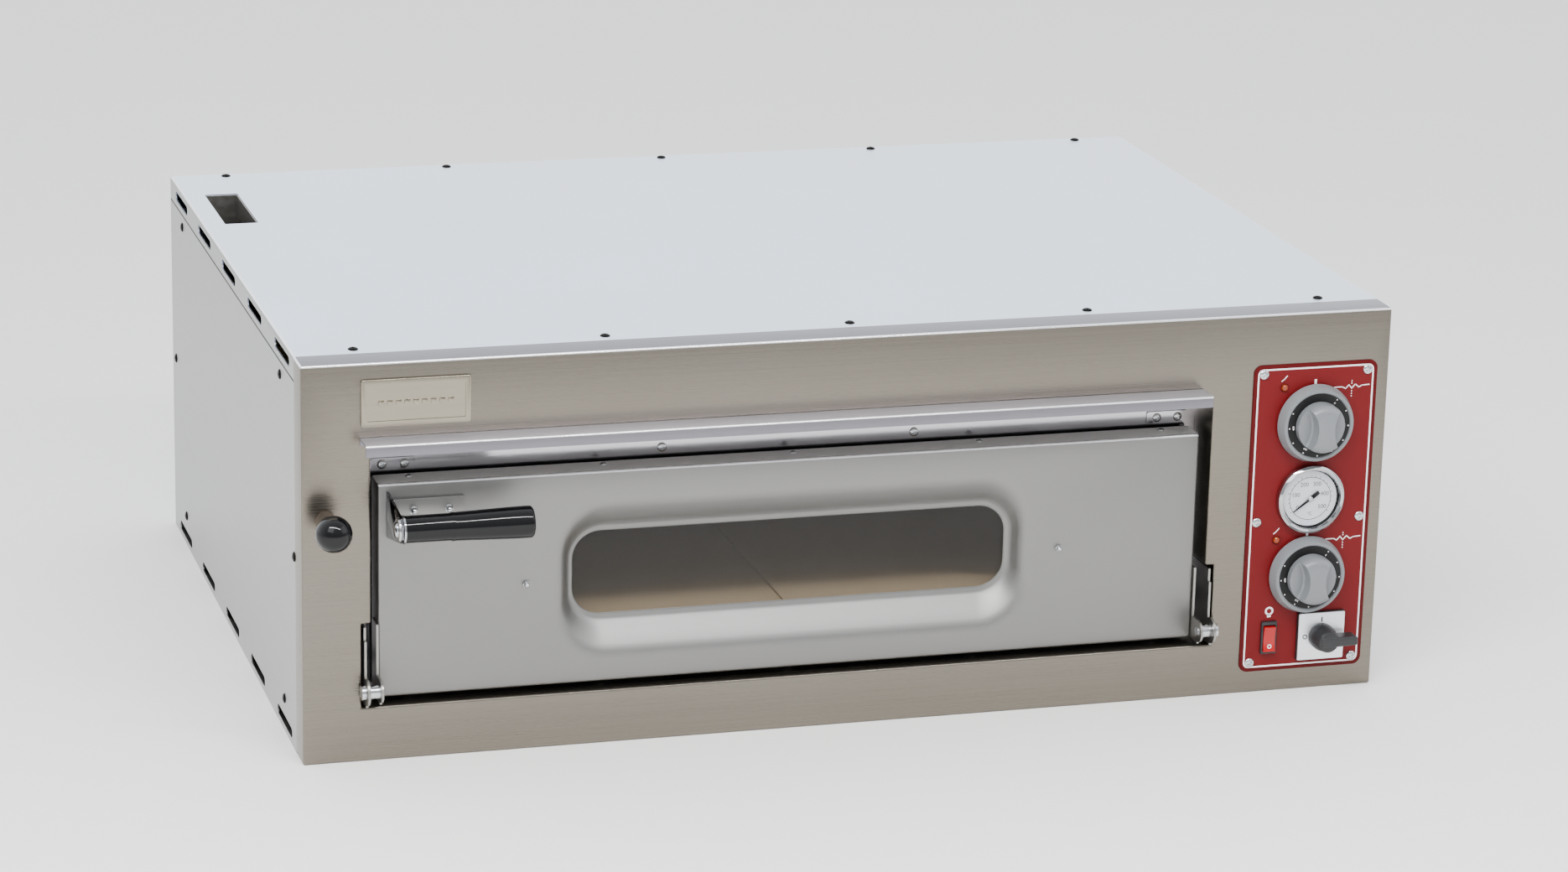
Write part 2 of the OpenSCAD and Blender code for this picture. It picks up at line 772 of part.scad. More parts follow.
module rocker_frame() {
    color("black") difference() {
        union() {
            facing(-plate_t - 3, 3) translate(rocker_at) rounded(15, 31, 1.2);
            facing(-plate_t - 1, 20) translate(rocker_at) square([12, 27.8], center = true);
        }
        facing(-plate_t - 4, 14) translate(rocker_at) square([10.4, 26], center = true);
        bar_x(rocker_at[0] - 5.9, front_y + rocker_pivot_d, rocker_at[1], 11.8, 1 + fit);
    }
}

// the rocker rests with its lower end pressed in
module light_rocker() {
    tilt = 10;
    color("red") translate([rocker_at[0], front_y + rocker_pivot_d, rocker_at[1]]) rotate([tilt, 0, 0]) {
        rotate([90, 0, 90]) translate([0, 0, -5]) linear_extrude(10)
            polygon([[4, -8], [-4.6, -12], [-3.2, 0], [-4.6, 12], [4, 8]]);
        translate([-5.6, 0, 0]) rotate([0, 90, 0]) cylinder(11.2, r = 1);
    }
}

module switch_body() {
    color("dimgray") difference() {
        union() {
            facing(-plate_t - 3.5, 3.5) translate(switch_at) rounded(switch_w + 1, switch_w + 1, 1.5);
            bar_y(switch_at[0], switch_at[1], -plate_t - 1, 5, 10.8);
            facing(skin, 46) translate(switch_at) square([38, 38], center = true);
        }
        bar_y(switch_at[0], switch_at[1], -plate_t - 5, 22, spindle_r + fit);
    }
}

module switch_plate() {
    color("silver") difference() {
        facing(-plate_t - 4.7, 1.2) translate(switch_at) rounded(switch_w, switch_w, 1);
        bar_y(switch_at[0], switch_at[1], -plate_t - 6, 4, 6);
    }
}

// a round hub with a lever that points right while the switch is off
module switch_knob() {
    base = -plate_t - 6.2;
    color("black") {
        bar_y(switch_at[0], switch_at[1], base - 12, 12, 12.5);
        facing(base - 20, 9) translate(switch_at) translate([8.5, 0]) obround(39, 9);
        bar_y(switch_at[0], switch_at[1], base - 1, 20, spindle_r);
    }
}

module terminal_block() {
    color("ivory") difference() {
        box(panel_x - 36, panel_x + 20, cabinet_d - 110, cabinet_d - 86, skin, skin + 26);
        for (x = spread(5, panel_x - 30, panel_x + 14))
            translate([x, front_y + cabinet_d - 98, skin + 14]) cylinder(20, r = 3.4);
    }
}

module cable_gland() {
    color("dimgray") difference() {
        union() {
            bar_y(gland_at[0], gland_at[1], cabinet_d, 14, 15);
            bar_y(gland_at[0], gland_at[1], cabinet_d - 12, 13, 12);
            bar_y(gland_at[0], gland_at[1], cabinet_d - 8, 8 - skin, 16);
        }
        bar_y(gland_at[0], gland_at[1], cabinet_d - 13, 30, 8);
    }
}

// ---- door ----
// a plate from the chamber's front frame through the panel's notch, with a round nose about the pin
module hinge_bracket() {
    x = open_x0 - bracket_x - hinge_plate;
    color("silver") difference() {
        union() {
            sideways(x, hinge_plate) {
                translate([front_y + 2, opening_z + 3]) square([frame_depth - 2, 70]);
                translate([front_y - hinge_proud, opening_z + 3]) square([hinge_proud + 4, hinge_rise - 3]);
                translate([front_y - hinge_proud, hinge_z]) circle(nose_r);
                translate([front_y - 1, hinge_z]) square([4, 44]);
            }
            box(x - 14, x + hinge_plate, frame_depth - hinge_plate, frame_depth,
                opening_z + 3, opening_z + 73);
        }
        bar_x(x - 1, front_y - hinge_proud, hinge_z, hinge_plate + 2, hinge_pin_r + fit);
        for (z = [20, 62]) bar_y(x - 7, opening_z + z, frame_depth - 4, 6, screw_r + 0.2);
    }
}

module hinge_brackets() {
    hinge_bracket();
    translate([2 * open_mid, 0, 0]) mirror([1, 0, 0]) hinge_bracket();
}

// a plate on the end of the door that carries the pin in front of the door's face
module door_leaf() {
    color("silver") difference() {
        sideways(door_x0 - hinge_plate, hinge_plate) {
            translate([front_y + door_recess - 3, door_z0]) square([20, 68]);
            translate([front_y - hinge_proud, door_z0]) square([hinge_proud + door_recess, 22]);
            translate([front_y - hinge_proud, hinge_z]) circle(10);
        }
        bar_x(door_x0 - 10, front_y - hinge_proud, hinge_z, 20, hinge_pin_r);
    }
}

module door_leaves() {
    door_leaf();
    translate([2 * open_mid, 0, 0]) mirror([1, 0, 0]) door_leaf();
}

module hinge_pin() {
    out = open_x0 - bracket_x - hinge_plate;
    y = front_y - hinge_proud;
    color("silver") {
        bar_x(out - 4, y, hinge_z, door_x0 - out + 5, hinge_pin_r);
        bar_x(out + hinge_plate + slip, y, hinge_z, door_x0 - out - 2 * hinge_plate - slip, spacer_r);
        bar_x(out - slip - 4, y, hinge_z, 4, 6.5);
    }
}

module hinge_pins() {
    hinge_pin();
    translate([2 * open_mid, 0, 0]) mirror([1, 0, 0]) hinge_pin();
}

// the tapered pocket that the window is set back in, grown outwards by g
module pressing(d, g) {
    hull() {
        facing(d, tiny) translate([open_mid, window_z])
            rounded(press_w + 2 * g, press_h + 2 * g, press_r, $fn = 32);
        facing(d + press_d - tiny, tiny) translate([open_mid, window_z])
            rounded(window_w + 2 * (rim + g), window_h + 2 * (rim + g), window_r + rim, $fn = 32);
    }
}

door_nut_xs = [open_mid - 246, open_mid + 246];
nut_xs = [fin_x + 21, fin_x + 52];

module door_outer_panel() {
    color("darkgray") difference() {
        union() {
            difference() {
                box(door_x0, door_x1, door_recess, door_back, door_z0, door_z1);
                box(door_x0 + door_skin, door_x1 - door_skin, door_recess + door_skin, door_back + 1,
                    door_z0 + door_skin, door_z1 - door_skin);
            }
            pressing(door_recess + door_skin, door_skin);
        }
        translate([0, -tiny, 0]) pressing(door_recess, 0);
        facing(door_recess, door_t + 1) translate([open_mid, window_z]) rounded(window_w, window_h, window_r);
        for (x = door_nut_xs) bar_y(x, window_z, door_recess - 1, 4, screw_r + 0.2);
        for (x = nut_xs) bar_y(x, grip_z, door_recess - 1, 4, screw_r + 0.2);
        for (x = edge_xs)
            translate([x, front_y + door_recess + edge_screw_d, door_z0 - 1]) cylinder(door_h + 2, r = 1.7);
    }
}

module door_inner_panel() {
    color("silver") difference() {
        box(door_x0 + door_skin, door_x1 - door_skin, door_back - door_skin, door_back,
            door_z0 + door_skin, door_z1 - door_skin);
        facing(door_back - 3, 6) translate([open_mid, window_z])
            rounded(window_w + 8, window_h + 8, window_r + 4);
    }
}

glass_depth = door_recess + press_d + door_skin;

module window_glass() {
    color([0.25, 0.24, 0.22, 0.5]) facing(glass_depth, glass_t)
        translate([open_mid, window_z]) rounded(window_w + 18, window_h + 18, window_r + 4);
}

module window_retainer() {
    color("silver") difference() {
        facing(glass_depth + glass_t, door_back - door_skin - glass_depth - glass_t)
            translate([open_mid, window_z]) rounded(window_w + 26, window_h + 26, window_r + 8);
        facing(glass_depth, door_t) translate([open_mid, window_z])
            rounded(window_w + 8, window_h + 8, window_r + 4);
    }
}

module door_insulation() {
    color("khaki") difference() {
        box(door_x0 + 4, door_x1 - 4, door_recess + door_skin + 0.5, door_back - door_skin,
            door_z0 + 4, door_z1 - 4);
        facing(0, 60) translate([open_mid, window_z]) rounded(press_w + 6, press_h + 6, press_r);
        for (x = door_nut_xs) bar_y(x, window_z, door_recess, 14, 4);
        for (x = nut_xs) bar_y(x, grip_z, door_recess, 14, 5);
        for (x = edge_xs)
            translate([x, front_y + door_recess + edge_screw_d, door_z0 - 1]) cylinder(door_h + 2, r = 3);
    }
}

// a domed nut that stands on a face, with its stud going in
module domed_nut(r, stud) {
    translate([0, 0, r * 0.9]) intersection() {
        sphere(r);
        cylinder(2 * r, r = r);
    }
    cylinder(r * 0.9 + tiny, r = r);
    translate([0, 0, -stud]) cylinder(stud + tiny, r = screw_r);
}

module door_fasteners() {
    color("silver") {
        for (x = door_nut_xs)
            translate([x, front_y + door_recess, window_z]) rotate([90, 0, 0]) domed_nut(3.4, 9);
        for (x = edge_xs, s = [0, 1])
            translate([x, front_y + door_recess + edge_screw_d, s ? door_z1 : door_z0])
                mirror([0, 0, 1 - s]) {
                cylinder(2, r = 3.2);
                translate([0, 0, -3]) cylinder(3 + tiny, r = 1.5);
            }
    }
}

module handle_bracket() {
    y = front_y + door_recess;
    color("silver") difference() {
        union() {
            sideways(fin_x - fin_t, fin_t)
                polygon([[y, grip_z - 24], [y, grip_z + 17], [y - 4, grip_z + 17],
                    [grip_y - 4, grip_z + 11], [grip_y - 10, grip_z + 6], [grip_y - 10, grip_z - 6],
                    [grip_y - 4, grip_z - 11], [y - 4, grip_z - 24]]);
            box(fin_x - fin_t, fin_x + 66, door_recess - fin_t, door_recess, grip_z - 14, grip_z + 10);
        }
        bar_x(fin_x - 5, grip_y, grip_z, 8, 3 + fit);
        for (x = nut_xs) bar_y(x, grip_z, door_recess - 4, 6, screw_r + 0.2);
    }
}

module handle_ferrule() {
    color("silver") {
        bar_x(fin_x - fin_t - 2.5, grip_y, grip_z, 2.5, 11);
        bar_x(fin_x - fin_t - 5, grip_y, grip_z, 2.6, 7);
        bar_x(fin_x - fin_t - tiny, grip_y, grip_z, 60, 3);
    }
}

module handle_grip() {
    color("black") difference() {
        translate([fin_x, grip_y, grip_z]) rotate([0, 90, 0]) rotate_extrude() {
            polygon([[0, 0], [11.8, 0], [12.6, grip_l * 0.4],
                [grip_r - 0.6, grip_l * 0.44], [grip_r, grip_l * 0.5],
                [grip_r, grip_l - 3], [0, grip_l - 3]]);
            square([grip_r - 3, grip_l]);
            translate([grip_r - 3, grip_l - 3]) intersection() {
                circle(3);
                square(3);
            }
        }
        bar_x(fin_x - 1, grip_y, grip_z, 62, 3);
    }
}

module handle_nuts() {
    color("silver") for (x = nut_xs)
        translate([x, front_y + door_recess - fin_t, grip_z]) rotate([90, 0, 0]) domed_nut(4, 10);
}

base_pan();
front_panel();
top_cover();
side_panels();
back_panel();
cabinet_screws();
drip_hood();
nameplate();
chamber_supports();
chamber_shell();
chamber_flue_wall();
chamber_front_frame();
frame_clips();
frame_screws();
chamber_insulation();
stone_rails();
baking_stones();
heating_elements();
lamp_holder();
lamp_glass();
flue_duct();
flue_neck();
rod_bush();
compartment_wall();
control_plate();
control_plate_screws();
thermostat_bodies();
sensor_bulbs();
pyrometer_case();
pyrometer_dial();
pyrometer_glass();
indicator_lamps();
rocker_frame();
switch_body();
switch_plate();
terminal_block();
cable_gland();
hinge_brackets();
door_outer_panel();
door_inner_panel();
door_insulation();
window_glass();
window_retainer();
door_fasteners();
door_leaves();
hinge_pins();
handle_bracket();
handle_ferrule();
handle_grip();
handle_nuts();
damper_blade();
damper_rod();
damper_knob();
upper_knob();
upper_spindle();
lower_knob();
lower_spindle();
pyrometer_pointer();
light_rocker();
switch_knob();
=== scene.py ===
import json
import math
import bmesh
import bpy
from mathutils import Matrix, Vector


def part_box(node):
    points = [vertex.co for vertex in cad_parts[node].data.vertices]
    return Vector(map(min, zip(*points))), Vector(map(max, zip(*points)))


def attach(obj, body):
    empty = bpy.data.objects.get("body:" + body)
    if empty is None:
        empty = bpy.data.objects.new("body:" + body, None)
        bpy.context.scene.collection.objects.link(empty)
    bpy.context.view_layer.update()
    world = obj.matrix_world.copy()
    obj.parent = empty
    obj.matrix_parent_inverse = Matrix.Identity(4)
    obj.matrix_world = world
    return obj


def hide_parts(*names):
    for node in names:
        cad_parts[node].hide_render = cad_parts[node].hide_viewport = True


# Countertop pizza oven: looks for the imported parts. Every size in the dictionaries is in millimetres.
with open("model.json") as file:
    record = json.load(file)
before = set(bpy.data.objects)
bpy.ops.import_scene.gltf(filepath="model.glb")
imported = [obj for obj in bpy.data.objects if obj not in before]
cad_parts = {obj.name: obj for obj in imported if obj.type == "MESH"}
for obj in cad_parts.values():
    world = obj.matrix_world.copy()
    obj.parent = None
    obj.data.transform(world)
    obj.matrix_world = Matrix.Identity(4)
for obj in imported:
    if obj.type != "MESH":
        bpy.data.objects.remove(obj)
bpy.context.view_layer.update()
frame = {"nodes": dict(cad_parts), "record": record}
toMetres = 0.001
print("frame loaded")


# Shape helpers: they work in millimetres, and a front piece lies in XY with +Z towards the viewer.
def boxMm(node):
    low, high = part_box(node)
    return low / toMetres, high / toMetres


def spanMm(node):
    low, high = boxMm(node)
    return (low + high) / 2, high - low


def moveTo(x, y, z):
    return Matrix.Translation((x, y, z))


def turnBy(degrees, axis="Z"):
    return Matrix.Rotation(math.radians(degrees), 4, axis)


def frontAt(x, y, z, turn=0.0):
    return moveTo(x, y, z) @ turnBy(90, "X") @ turnBy(turn)


def around(radius, angle, z):
    return moveTo(radius * math.cos(angle), radius * math.sin(angle), z)


def paint(shape, slotIndex):
    for face in shape.faces:
        face.material_index = slotIndex
    return shape


def shift(shape, x, y, z):
    bmesh.ops.translate(shape, vec=(x, y, z), verts=shape.verts)
    return shape


def plainSheet(width, height):
    shape = bmesh.new()
    bmesh.ops.create_grid(shape, x_segments=1, y_segments=1, size=0.5)
    bmesh.ops.scale(shape, vec=(width, height, 1), verts=shape.verts)
    return shape


def roundCorners(shape, radius, segments):
    bmesh.ops.bevel(shape, geom=shape.verts[:], offset=radius, offset_type="OFFSET",
                    segments=segments, profile=0.5, affect="VERTICES", material=-1)


def roundOver(shape, edges, offset, segments=4):
    bmesh.ops.bevel(shape, geom=edges, offset=offset, offset_type="OFFSET", segments=segments,
                    profile=0.5, affect="EDGES", material=-1)


def moveNew(shape, grown, step):
    fresh = [item for item in grown["geom"] if isinstance(item, bmesh.types.BMVert)]
    bmesh.ops.translate(shape, vec=step, verts=fresh)


def growFaces(shape, step):
    moveNew(shape, bmesh.ops.extrude_face_region(shape, geom=shape.faces[:]), step)
    bmesh.ops.recalc_face_normals(shape, faces=shape.faces)


def turnDown(shape, edges, drop):
    moveNew(shape, bmesh.ops.extrude_edge_only(shape, edges=edges), (0, 0, -drop))


def faceUp(shape):
    bmesh.ops.recalc_face_normals(shape, faces=shape.faces)
    flat = max(shape.faces, key=lambda face: face.calc_area())
    if flat.normal.z < 0:
        bmesh.ops.reverse_faces(shape, faces=shape.faces)


def slab(width, height, thick, radius=0.0, edge=0.0, slotIndex=0, rounding=8, edgeSteps=2):
    shape = plainSheet(width, height)
    if radius:
        roundCorners(shape, radius, rounding)
    growFaces(shape, (0, 0, thick))
    if edge:
        rim = [e for e in shape.edges if all(v.co.z > thick * 0.999 for v in e.verts)]
        roundOver(shape, rim, edge, edgeSteps)
    return paint(shape, slotIndex)


def lathe(profile, steps=48, slotIndex=0):
    shape = bmesh.new()
    points = [shape.verts.new((radius, 0, height)) for radius, height in profile]
    for first, second in zip(points, points[1:]):
        shape.edges.new((first, second))
    bmesh.ops.spin(shape, geom=shape.verts[:] + shape.edges[:], cent=(0, 0, 0), axis=(0, 0, 1),
                   angle=math.tau, steps=steps, use_merge=True)
    bmesh.ops.remove_doubles(shape, verts=shape.verts, dist=0.0005)
    bmesh.ops.recalc_face_normals(shape, faces=shape.faces)
    return paint(shape, slotIndex)


def washer(inner, outer, thick, steps, slotIndex):
    return lathe([(inner, 0), (outer, 0), (outer, thick), (inner, thick), (inner, 0)], steps, slotIndex)


def put(target, source, place=None):
    carrier = bpy.data.meshes.new("carrier")
    source.to_mesh(carrier)
    source.free()
    if place is not None:
        carrier.transform(place)
    target.from_mesh(carrier)
    bpy.data.meshes.remove(carrier)
    return target


def placed(shape, place):
    return put(bmesh.new(), shape, place)


def standIn(shape):
    mesh = bpy.data.meshes.new("standIn")
    shape.to_mesh(mesh)
    shape.free()
    thing = bpy.data.objects.new("standIn", mesh)
    bpy.context.scene.collection.objects.link(thing)
    return thing


def settled(thing, helpers=()):
    bpy.context.view_layer.update()
    final = thing.evaluated_get(bpy.context.evaluated_depsgraph_get())
    shape = bmesh.new()
    shape.from_mesh(final.to_mesh())
    final.to_mesh_clear()
    for old in (thing, *helpers):
        bpy.data.objects.remove(old)
    return shape


def carve(shape, *cutters):
    target = standIn(shape)
    tools = [standIn(cutter) for cutter in cutters]
    for tool in tools:
        step = target.modifiers.new("cut", "BOOLEAN")
        step.operation = "DIFFERENCE"
        step.solver = "EXACT"
        step.object = tool
    return settled(target, tools)


def thicken(shape, gauge):
    target = standIn(shape)
    step = target.modifiers.new("gauge", "SOLIDIFY")
    step.thickness = gauge
    step.offset = -1
    step.use_even_offset = True
    return settled(target)


def words(text, size, slotIndex=0, relief=0.04):
    curve = bpy.data.curves.new("words", "FONT")
    curve.body = text
    curve.size = size
    curve.align_x = "CENTER"
    curve.align_y = "CENTER"
    curve.extrude = relief
    curve.resolution_u = 3
    thing = bpy.data.objects.new("words", curve)
    bpy.context.scene.collection.objects.link(thing)
    return paint(settled(thing), slotIndex)


def stroke(points, width, thick, slotIndex=0):
    shape = bmesh.new()
    for (x1, y1), (x2, y2) in zip(points, points[1:]):
        length = math.hypot(x2 - x1, y2 - y1)
        turn = Matrix.Rotation(math.atan2(y2 - y1, x2 - x1), 4, "Z")
        bar = slab(length + width * 0.6, width, thick, slotIndex=slotIndex)
        put(shape, bar, moveTo((x1 + x2) / 2, (y1 + y2) / 2, 0) @ turn)
    return shape


def outline(shape, points):
    corners = [shape.verts.new(point) for point in points]
    return [shape.edges.new((a, b)) for a, b in zip(corners, corners[1:] + corners[:1])]


def circlePoints(x, y, radius, steps=32):
    angles = [math.tau * i / steps for i in range(steps)]
    return [(x + radius * math.cos(a), y + radius * math.sin(a), 0) for a in angles]


def rectPoints(x0, y0, x1, y1):
    return [(x0, y0, 0), (x1, y0, 0), (x1, y1, 0), (x0, y1, 0)]


# Connected lumps of a CAD node, as (middle, size), so that fasteners sit exactly where the part has them.
def lumps(node):
    shape = bmesh.new()
    shape.from_mesh(frame["nodes"][node].data)
    bmesh.ops.remove_doubles(shape, verts=shape.verts, dist=0.000002)
    found = []
    seen = set()
    for start in shape.verts:
        if start in seen:
            continue
        seen.add(start)
        group = [start]
        for vert in group:
            for edge in vert.link_edges:
                other = edge.other_vert(vert)
                if other not in seen:
                    seen.add(other)
                    group.append(other)
        low = Vector([min(v.co[i] for v in group) for i in range(3)]) / toMetres
        high = Vector([max(v.co[i] for v in group) for i in range(3)]) / toMetres
        found.append(((low + high) / 2, high - low))
    shape.free()
    return sorted(found, key=lambda item: tuple(round(c, 2) for c in item[0]))


def finishPiece(name, shape, body, looks, nodes, crease=32):
    bmesh.ops.scale(shape, vec=(toMetres,) * 3, verts=shape.verts)
    mesh = bpy.data.meshes.new(name)
    shape.to_mesh(mesh)
    shape.free()
    for look in looks:
        mesh.materials.append(look)
    mesh.polygons.foreach_set("use_smooth", [True] * len(mesh.polygons))
    mesh.set_sharp_from_angle(angle=math.radians(crease))
    piece = bpy.data.objects.new(name, mesh)
    bpy.context.scene.collection.objects.link(piece)
    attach(piece, body)
    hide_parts(*nodes)


# Materials: one builder, one row each. Colours are sRGB, pattern scales are in repeats per metre.
def linear(code):
    parts = [int(code[i:i + 2], 16) / 255 for i in (0, 2, 4)]
    return [c / 12.92 if c <= 0.04045 else ((c + 0.055) / 1.055) ** 2.4 for c in parts] + [1.0]


def addNode(tree, kind, settings=None, values=None, links=None):
    node = tree.nodes.new(kind)
    for key, value in (settings or {}).items():
        setattr(node, key, value)
    for key, value in (values or {}).items():
        node.inputs[key].default_value = value
    for key, (source, socket) in (links or {}).items():
        tree.links.new(source.outputs[socket], node.inputs[key])
    return node


def remap(tree, source, span, low, high):
    return addNode(tree, "ShaderNodeMapRange", links={"Value": source},
                   values={"From Min": span[0], "From Max": span[1], "To Min": low, "To Max": high})


def makeLook(name, color, metallic=0.0, rough=0.5, scale=400, detail=3.0, tint=0.06,
             roughSpread=0.05, bump=0.00002, second=None, cells=False, **fixed):
    if not isinstance(scale, tuple):
        scale = (scale,) * 3
    look = bpy.data.materials.new(name)
    look.use_nodes = True
    tree = look.node_tree
    tree.nodes.clear()
    coord = addNode(tree, "ShaderNodeTexCoord")
    place = addNode(tree, "ShaderNodeMapping", values={"Scale": scale}, links={"Vector": (coord, "Object")})
    if cells:
        grain = addNode(tree, "ShaderNodeTexVoronoi", values={"Scale": 1.0},
                        links={"Vector": (place, "Vector")})
        level = (grain, "Color")
    else:
        grain = addNode(tree, "ShaderNodeTexNoise", values={"Scale": 1.0, "Detail": detail},
                        links={"Vector": (place, "Vector")})
        level = (grain, "Fac")
    broad = addNode(tree, "ShaderNodeTexNoise", values={"Scale": 3.0, "Detail": 2.0},
                    links={"Vector": (coord, "Object")})
    shade = remap(tree, level, (0.25, 0.75), 1 - tint, 1 + tint)
    wash = remap(tree, (broad, "Fac"), (0.3, 0.7), 1 - tint * 0.5, 1 + tint * 0.5)
    both = addNode(tree, "ShaderNodeMath", {"operation": "MULTIPLY"},
                   links={0: (shade, "Result"), 1: (wash, "Result")})
    hue = addNode(tree, "ShaderNodeMix", {"data_type": "RGBA"},
                  {6: linear(color), 7: linear(second or color)}, {0: (broad, "Fac")})  # sockets A, B, Factor
    mixed = addNode(tree, "ShaderNodeVectorMath", {"operation": "SCALE"},
                    links={0: (hue, 2), "Scale": (both, "Value")})
    gloss = remap(tree, level, (0.25, 0.75), max(rough - roughSpread, 0.0), rough + roughSpread)
    relief = addNode(tree, "ShaderNodeBump", values={"Strength": 1.0, "Distance": bump},
                     links={"Height": level})
    steady = {"Metallic": metallic}
    steady.update({key.replace("_", " "): value for key, value in fixed.items()})
    body = addNode(tree, "ShaderNodeBsdfPrincipled", values=steady,
                   links={"Base Color": (mixed, "Vector"), "Roughness": (gloss, "Result"),
                          "Normal": (relief, "Normal")})
    addNode(tree, "ShaderNodeOutputMaterial", links={"Surface": (body, "BSDF")})
    return look


# Horizontal belt grain: lines along X about 1 mm apart, coarser than real grit so that they show at all.
brushedSteel = makeLook("stainless_belt_brushed_along_x", "817b72", 1.0, 0.3, (3, 900, 1300),
                        tint=0.07, roughSpread=0.06, bump=0.00001, second="726c63")
# Cold-rolled satin sheet: pale and even, with reflections blurred to soft patches.
satinSteel = makeLook("stainless_cold_rolled_satin", "e6eefb", 1.0, 0.34, (9, 5, 9),
                      tint=0.03, roughSpread=0.04, bump=0.000002, second="dde6f5")
# Side sheets: the same stock, painted darker than the top as shade on the upright faces.
sideSteelPaintedShade = makeLook("stainless_satin_painted_shade", "a6a7a5", 1.0, 0.36, (40, 6, 900),
                     tint=0.04, roughSpread=0.05, bump=0.000004, second="9ea09e")
# Fine satin pressed door: neutral grey, near-even sheen.
doorSteel = makeLook("stainless_fine_satin_pressed", "8a8988", 1.0, 0.46, 700,
                     tint=0.03, roughSpread=0.05, bump=0.000004, second="868583")
# The door's folded top edge: a paler, less metallic copy of the door steel, painted light on the band that
# lies in the hood's shade.
doorEdgePaintedLight = makeLook("stainless_folded_painted_light", "e2e1df", 0.35, 0.5, 700, tint=0.05,
                         roughSpread=0.06, bump=0.000004)
# Folds: a near-white, glossier copy of the sheet, a painted highlight so that narrow edges show a white line
# of light.
foldPaintedHighlight = makeLook("stainless_fold_painted_highlight", "f2f2f5", 0.8, 0.24, 300, tint=0.03,
                     roughSpread=0.03, bump=0.0)
# Return along the top of the front: brushed sheet, painted darker and cooler than the front as shade, a
# stripe between two folds with painted highlights.
returnPaintedShade = makeLook("stainless_brushed_return_painted_shade", "77767d", 1.0, 0.3, (3, 900, 900), tint=0.06,
                       roughSpread=0.05, bump=0.000006, second="6e6d74")
# Open joint between two sheets: the sheet's edge strip painted near-black, a painted shadow of the gap that
# stays dark from every side.
jointPaintedShadow = makeLook("steel_painted_joint_shadow", "24231f", 0.2, 0.7, 200, tint=0.08)
# Hood's upper face: the same sheet, painted lighter where it lies flat under the light.
hoodTopPaintedLight = makeLook("stainless_satin_folded_top_painted_light", "d6d3da", 0.85, 0.42, (4, 700, 700), tint=0.05,
                        roughSpread=0.05, bump=0.000004, second="cbc8d0")
# Satin folded hood: cool grey that shows long soft streaks.
hoodSteel = makeLook("stainless_satin_folded", "85838a", 1.0, 0.36, (4, 700, 700), tint=0.05,
                     roughSpread=0.05, bump=0.000004, second="7d7b82")
# Bright annealed strip: mirror-like edges of brackets and folded clips.
brightSteel = makeLook("stainless_bright_annealed", "b5b3b8", 1.0, 0.16, (30, 300, 300),
                       tint=0.04, roughSpread=0.03, bump=0.000002)
# Handle fin: polished plate that picks up the dark door gap.
finSteel = makeLook("stainless_mirror_polished", "6f6f73", 1.0, 0.1, (30, 300, 300), tint=0.04,
                    roughSpread=0.02, bump=0.000001)
# Hinge plates: laser-cut sheet left in its mill finish, dull and even.
hingeSteel = makeLook("stainless_laser_cut_mill_finish", "9a9894", 1.0, 0.36, 200, tint=0.06)
# Galvanised sheet: spangled zinc crystals about 8 mm across, each its own shade of grey.
zincSheet = makeLook("steel_hot_dip_galvanised", "a7abad", 1.0, 0.38, 120,
                     tint=0.12, roughSpread=0.08, bump=0.0, cells=True)
# Bright zinc plating on turned and pressed fasteners: small sharp highlights.
zincPlate = makeLook("steel_bright_zinc_plated", "c6c8cb", 1.0, 0.18, 600, tint=0.05)
# Blackened screws: dark oxide that still catches a thin highlight.
blackScrew = makeLook("steel_black_oxide", "191817", 1.0, 0.38, 700, tint=0.1)
# Heat-darkened chamber sheet: brown bloom in patches a hand wide.
hotSteel = makeLook("aluminised_steel_heat_darkened", "6c645b", 1.0, 0.48, 14,
                    tint=0.16, roughSpread=0.1, second="5a4f45")
# Mineral wool blanket: felted fibre with no shine.
woolFelt = makeLook("mineral_wool_felted", "c9b98c", 0.0, 0.95, 260, tint=0.18, bump=0.0015)
# Fired cordierite: open, chalky grain with faint scorching.
firedStone = makeLook("cordierite_pressed_and_fired", "e0c7a0", 0.0, 0.88, 300,
                      tint=0.1, bump=0.0002, second="cdb28a")
# Element sheath: matt oxidised alloy.
elementAlloy = makeLook("nickel_alloy_drawn_oxidised", "4a443f", 1.0, 0.5, 200, tint=0.12)
# Drawn copper bulbs: warm metal, slightly browned by the heat.
copperTube = makeLook("copper_drawn_browned", "a8683f", 1.0, 0.34, 150, tint=0.12)
# Printed control film: satin red ink on a rigid sheet.
redFilm = makeLook("polyester_film_printed_red", "650c10", 0.0, 0.5, 500, tint=0.03,
                   bump=0.000004, Specular_IOR_Level=0.2)
# Darker red border around the pinstripe.
redBorder = makeLook("polyester_film_printed_dark_red", "500a0d", 0.0, 0.5, 500, tint=0.03,
                     Specular_IOR_Level=0.12)
# Screen-printed white ink: flat and dense.
whiteInk = makeLook("ink_screen_printed_white", "f3eef0", 0.0, 0.5, 500, tint=0.02)
# Dark grey and black inks: matt marks on the dials and the switch.
greyInk = makeLook("ink_screen_printed_grey", "34383a", 0.0, 0.5, 500, tint=0.02)
blackInk = makeLook("ink_screen_printed_black", "070708", 0.0, 0.5, 500, tint=0.02,
                    Specular_IOR_Level=0.3)
# Moulded grey knob: fine spark texture and a soft sheen.
greyPlastic = makeLook("nylon_moulded_grey", "74777a", 0.0, 0.33, 900, tint=0.02,
                       bump=0.00001, second="707376")
# Polished phenolic: deep black with sharp highlights.
phenolic = makeLook("phenolic_moulded_polished", "08080a", 0.0, 0.07, 60, tint=0.05,
                    roughSpread=0.02, bump=0.000002, Specular_IOR_Level=0.3)
# Moulded black nylon: dull, with softened edges of light.
blackNylon = makeLook("nylon_moulded_black", "1d1d1f", 0.0, 0.4, 900, tint=0.05)
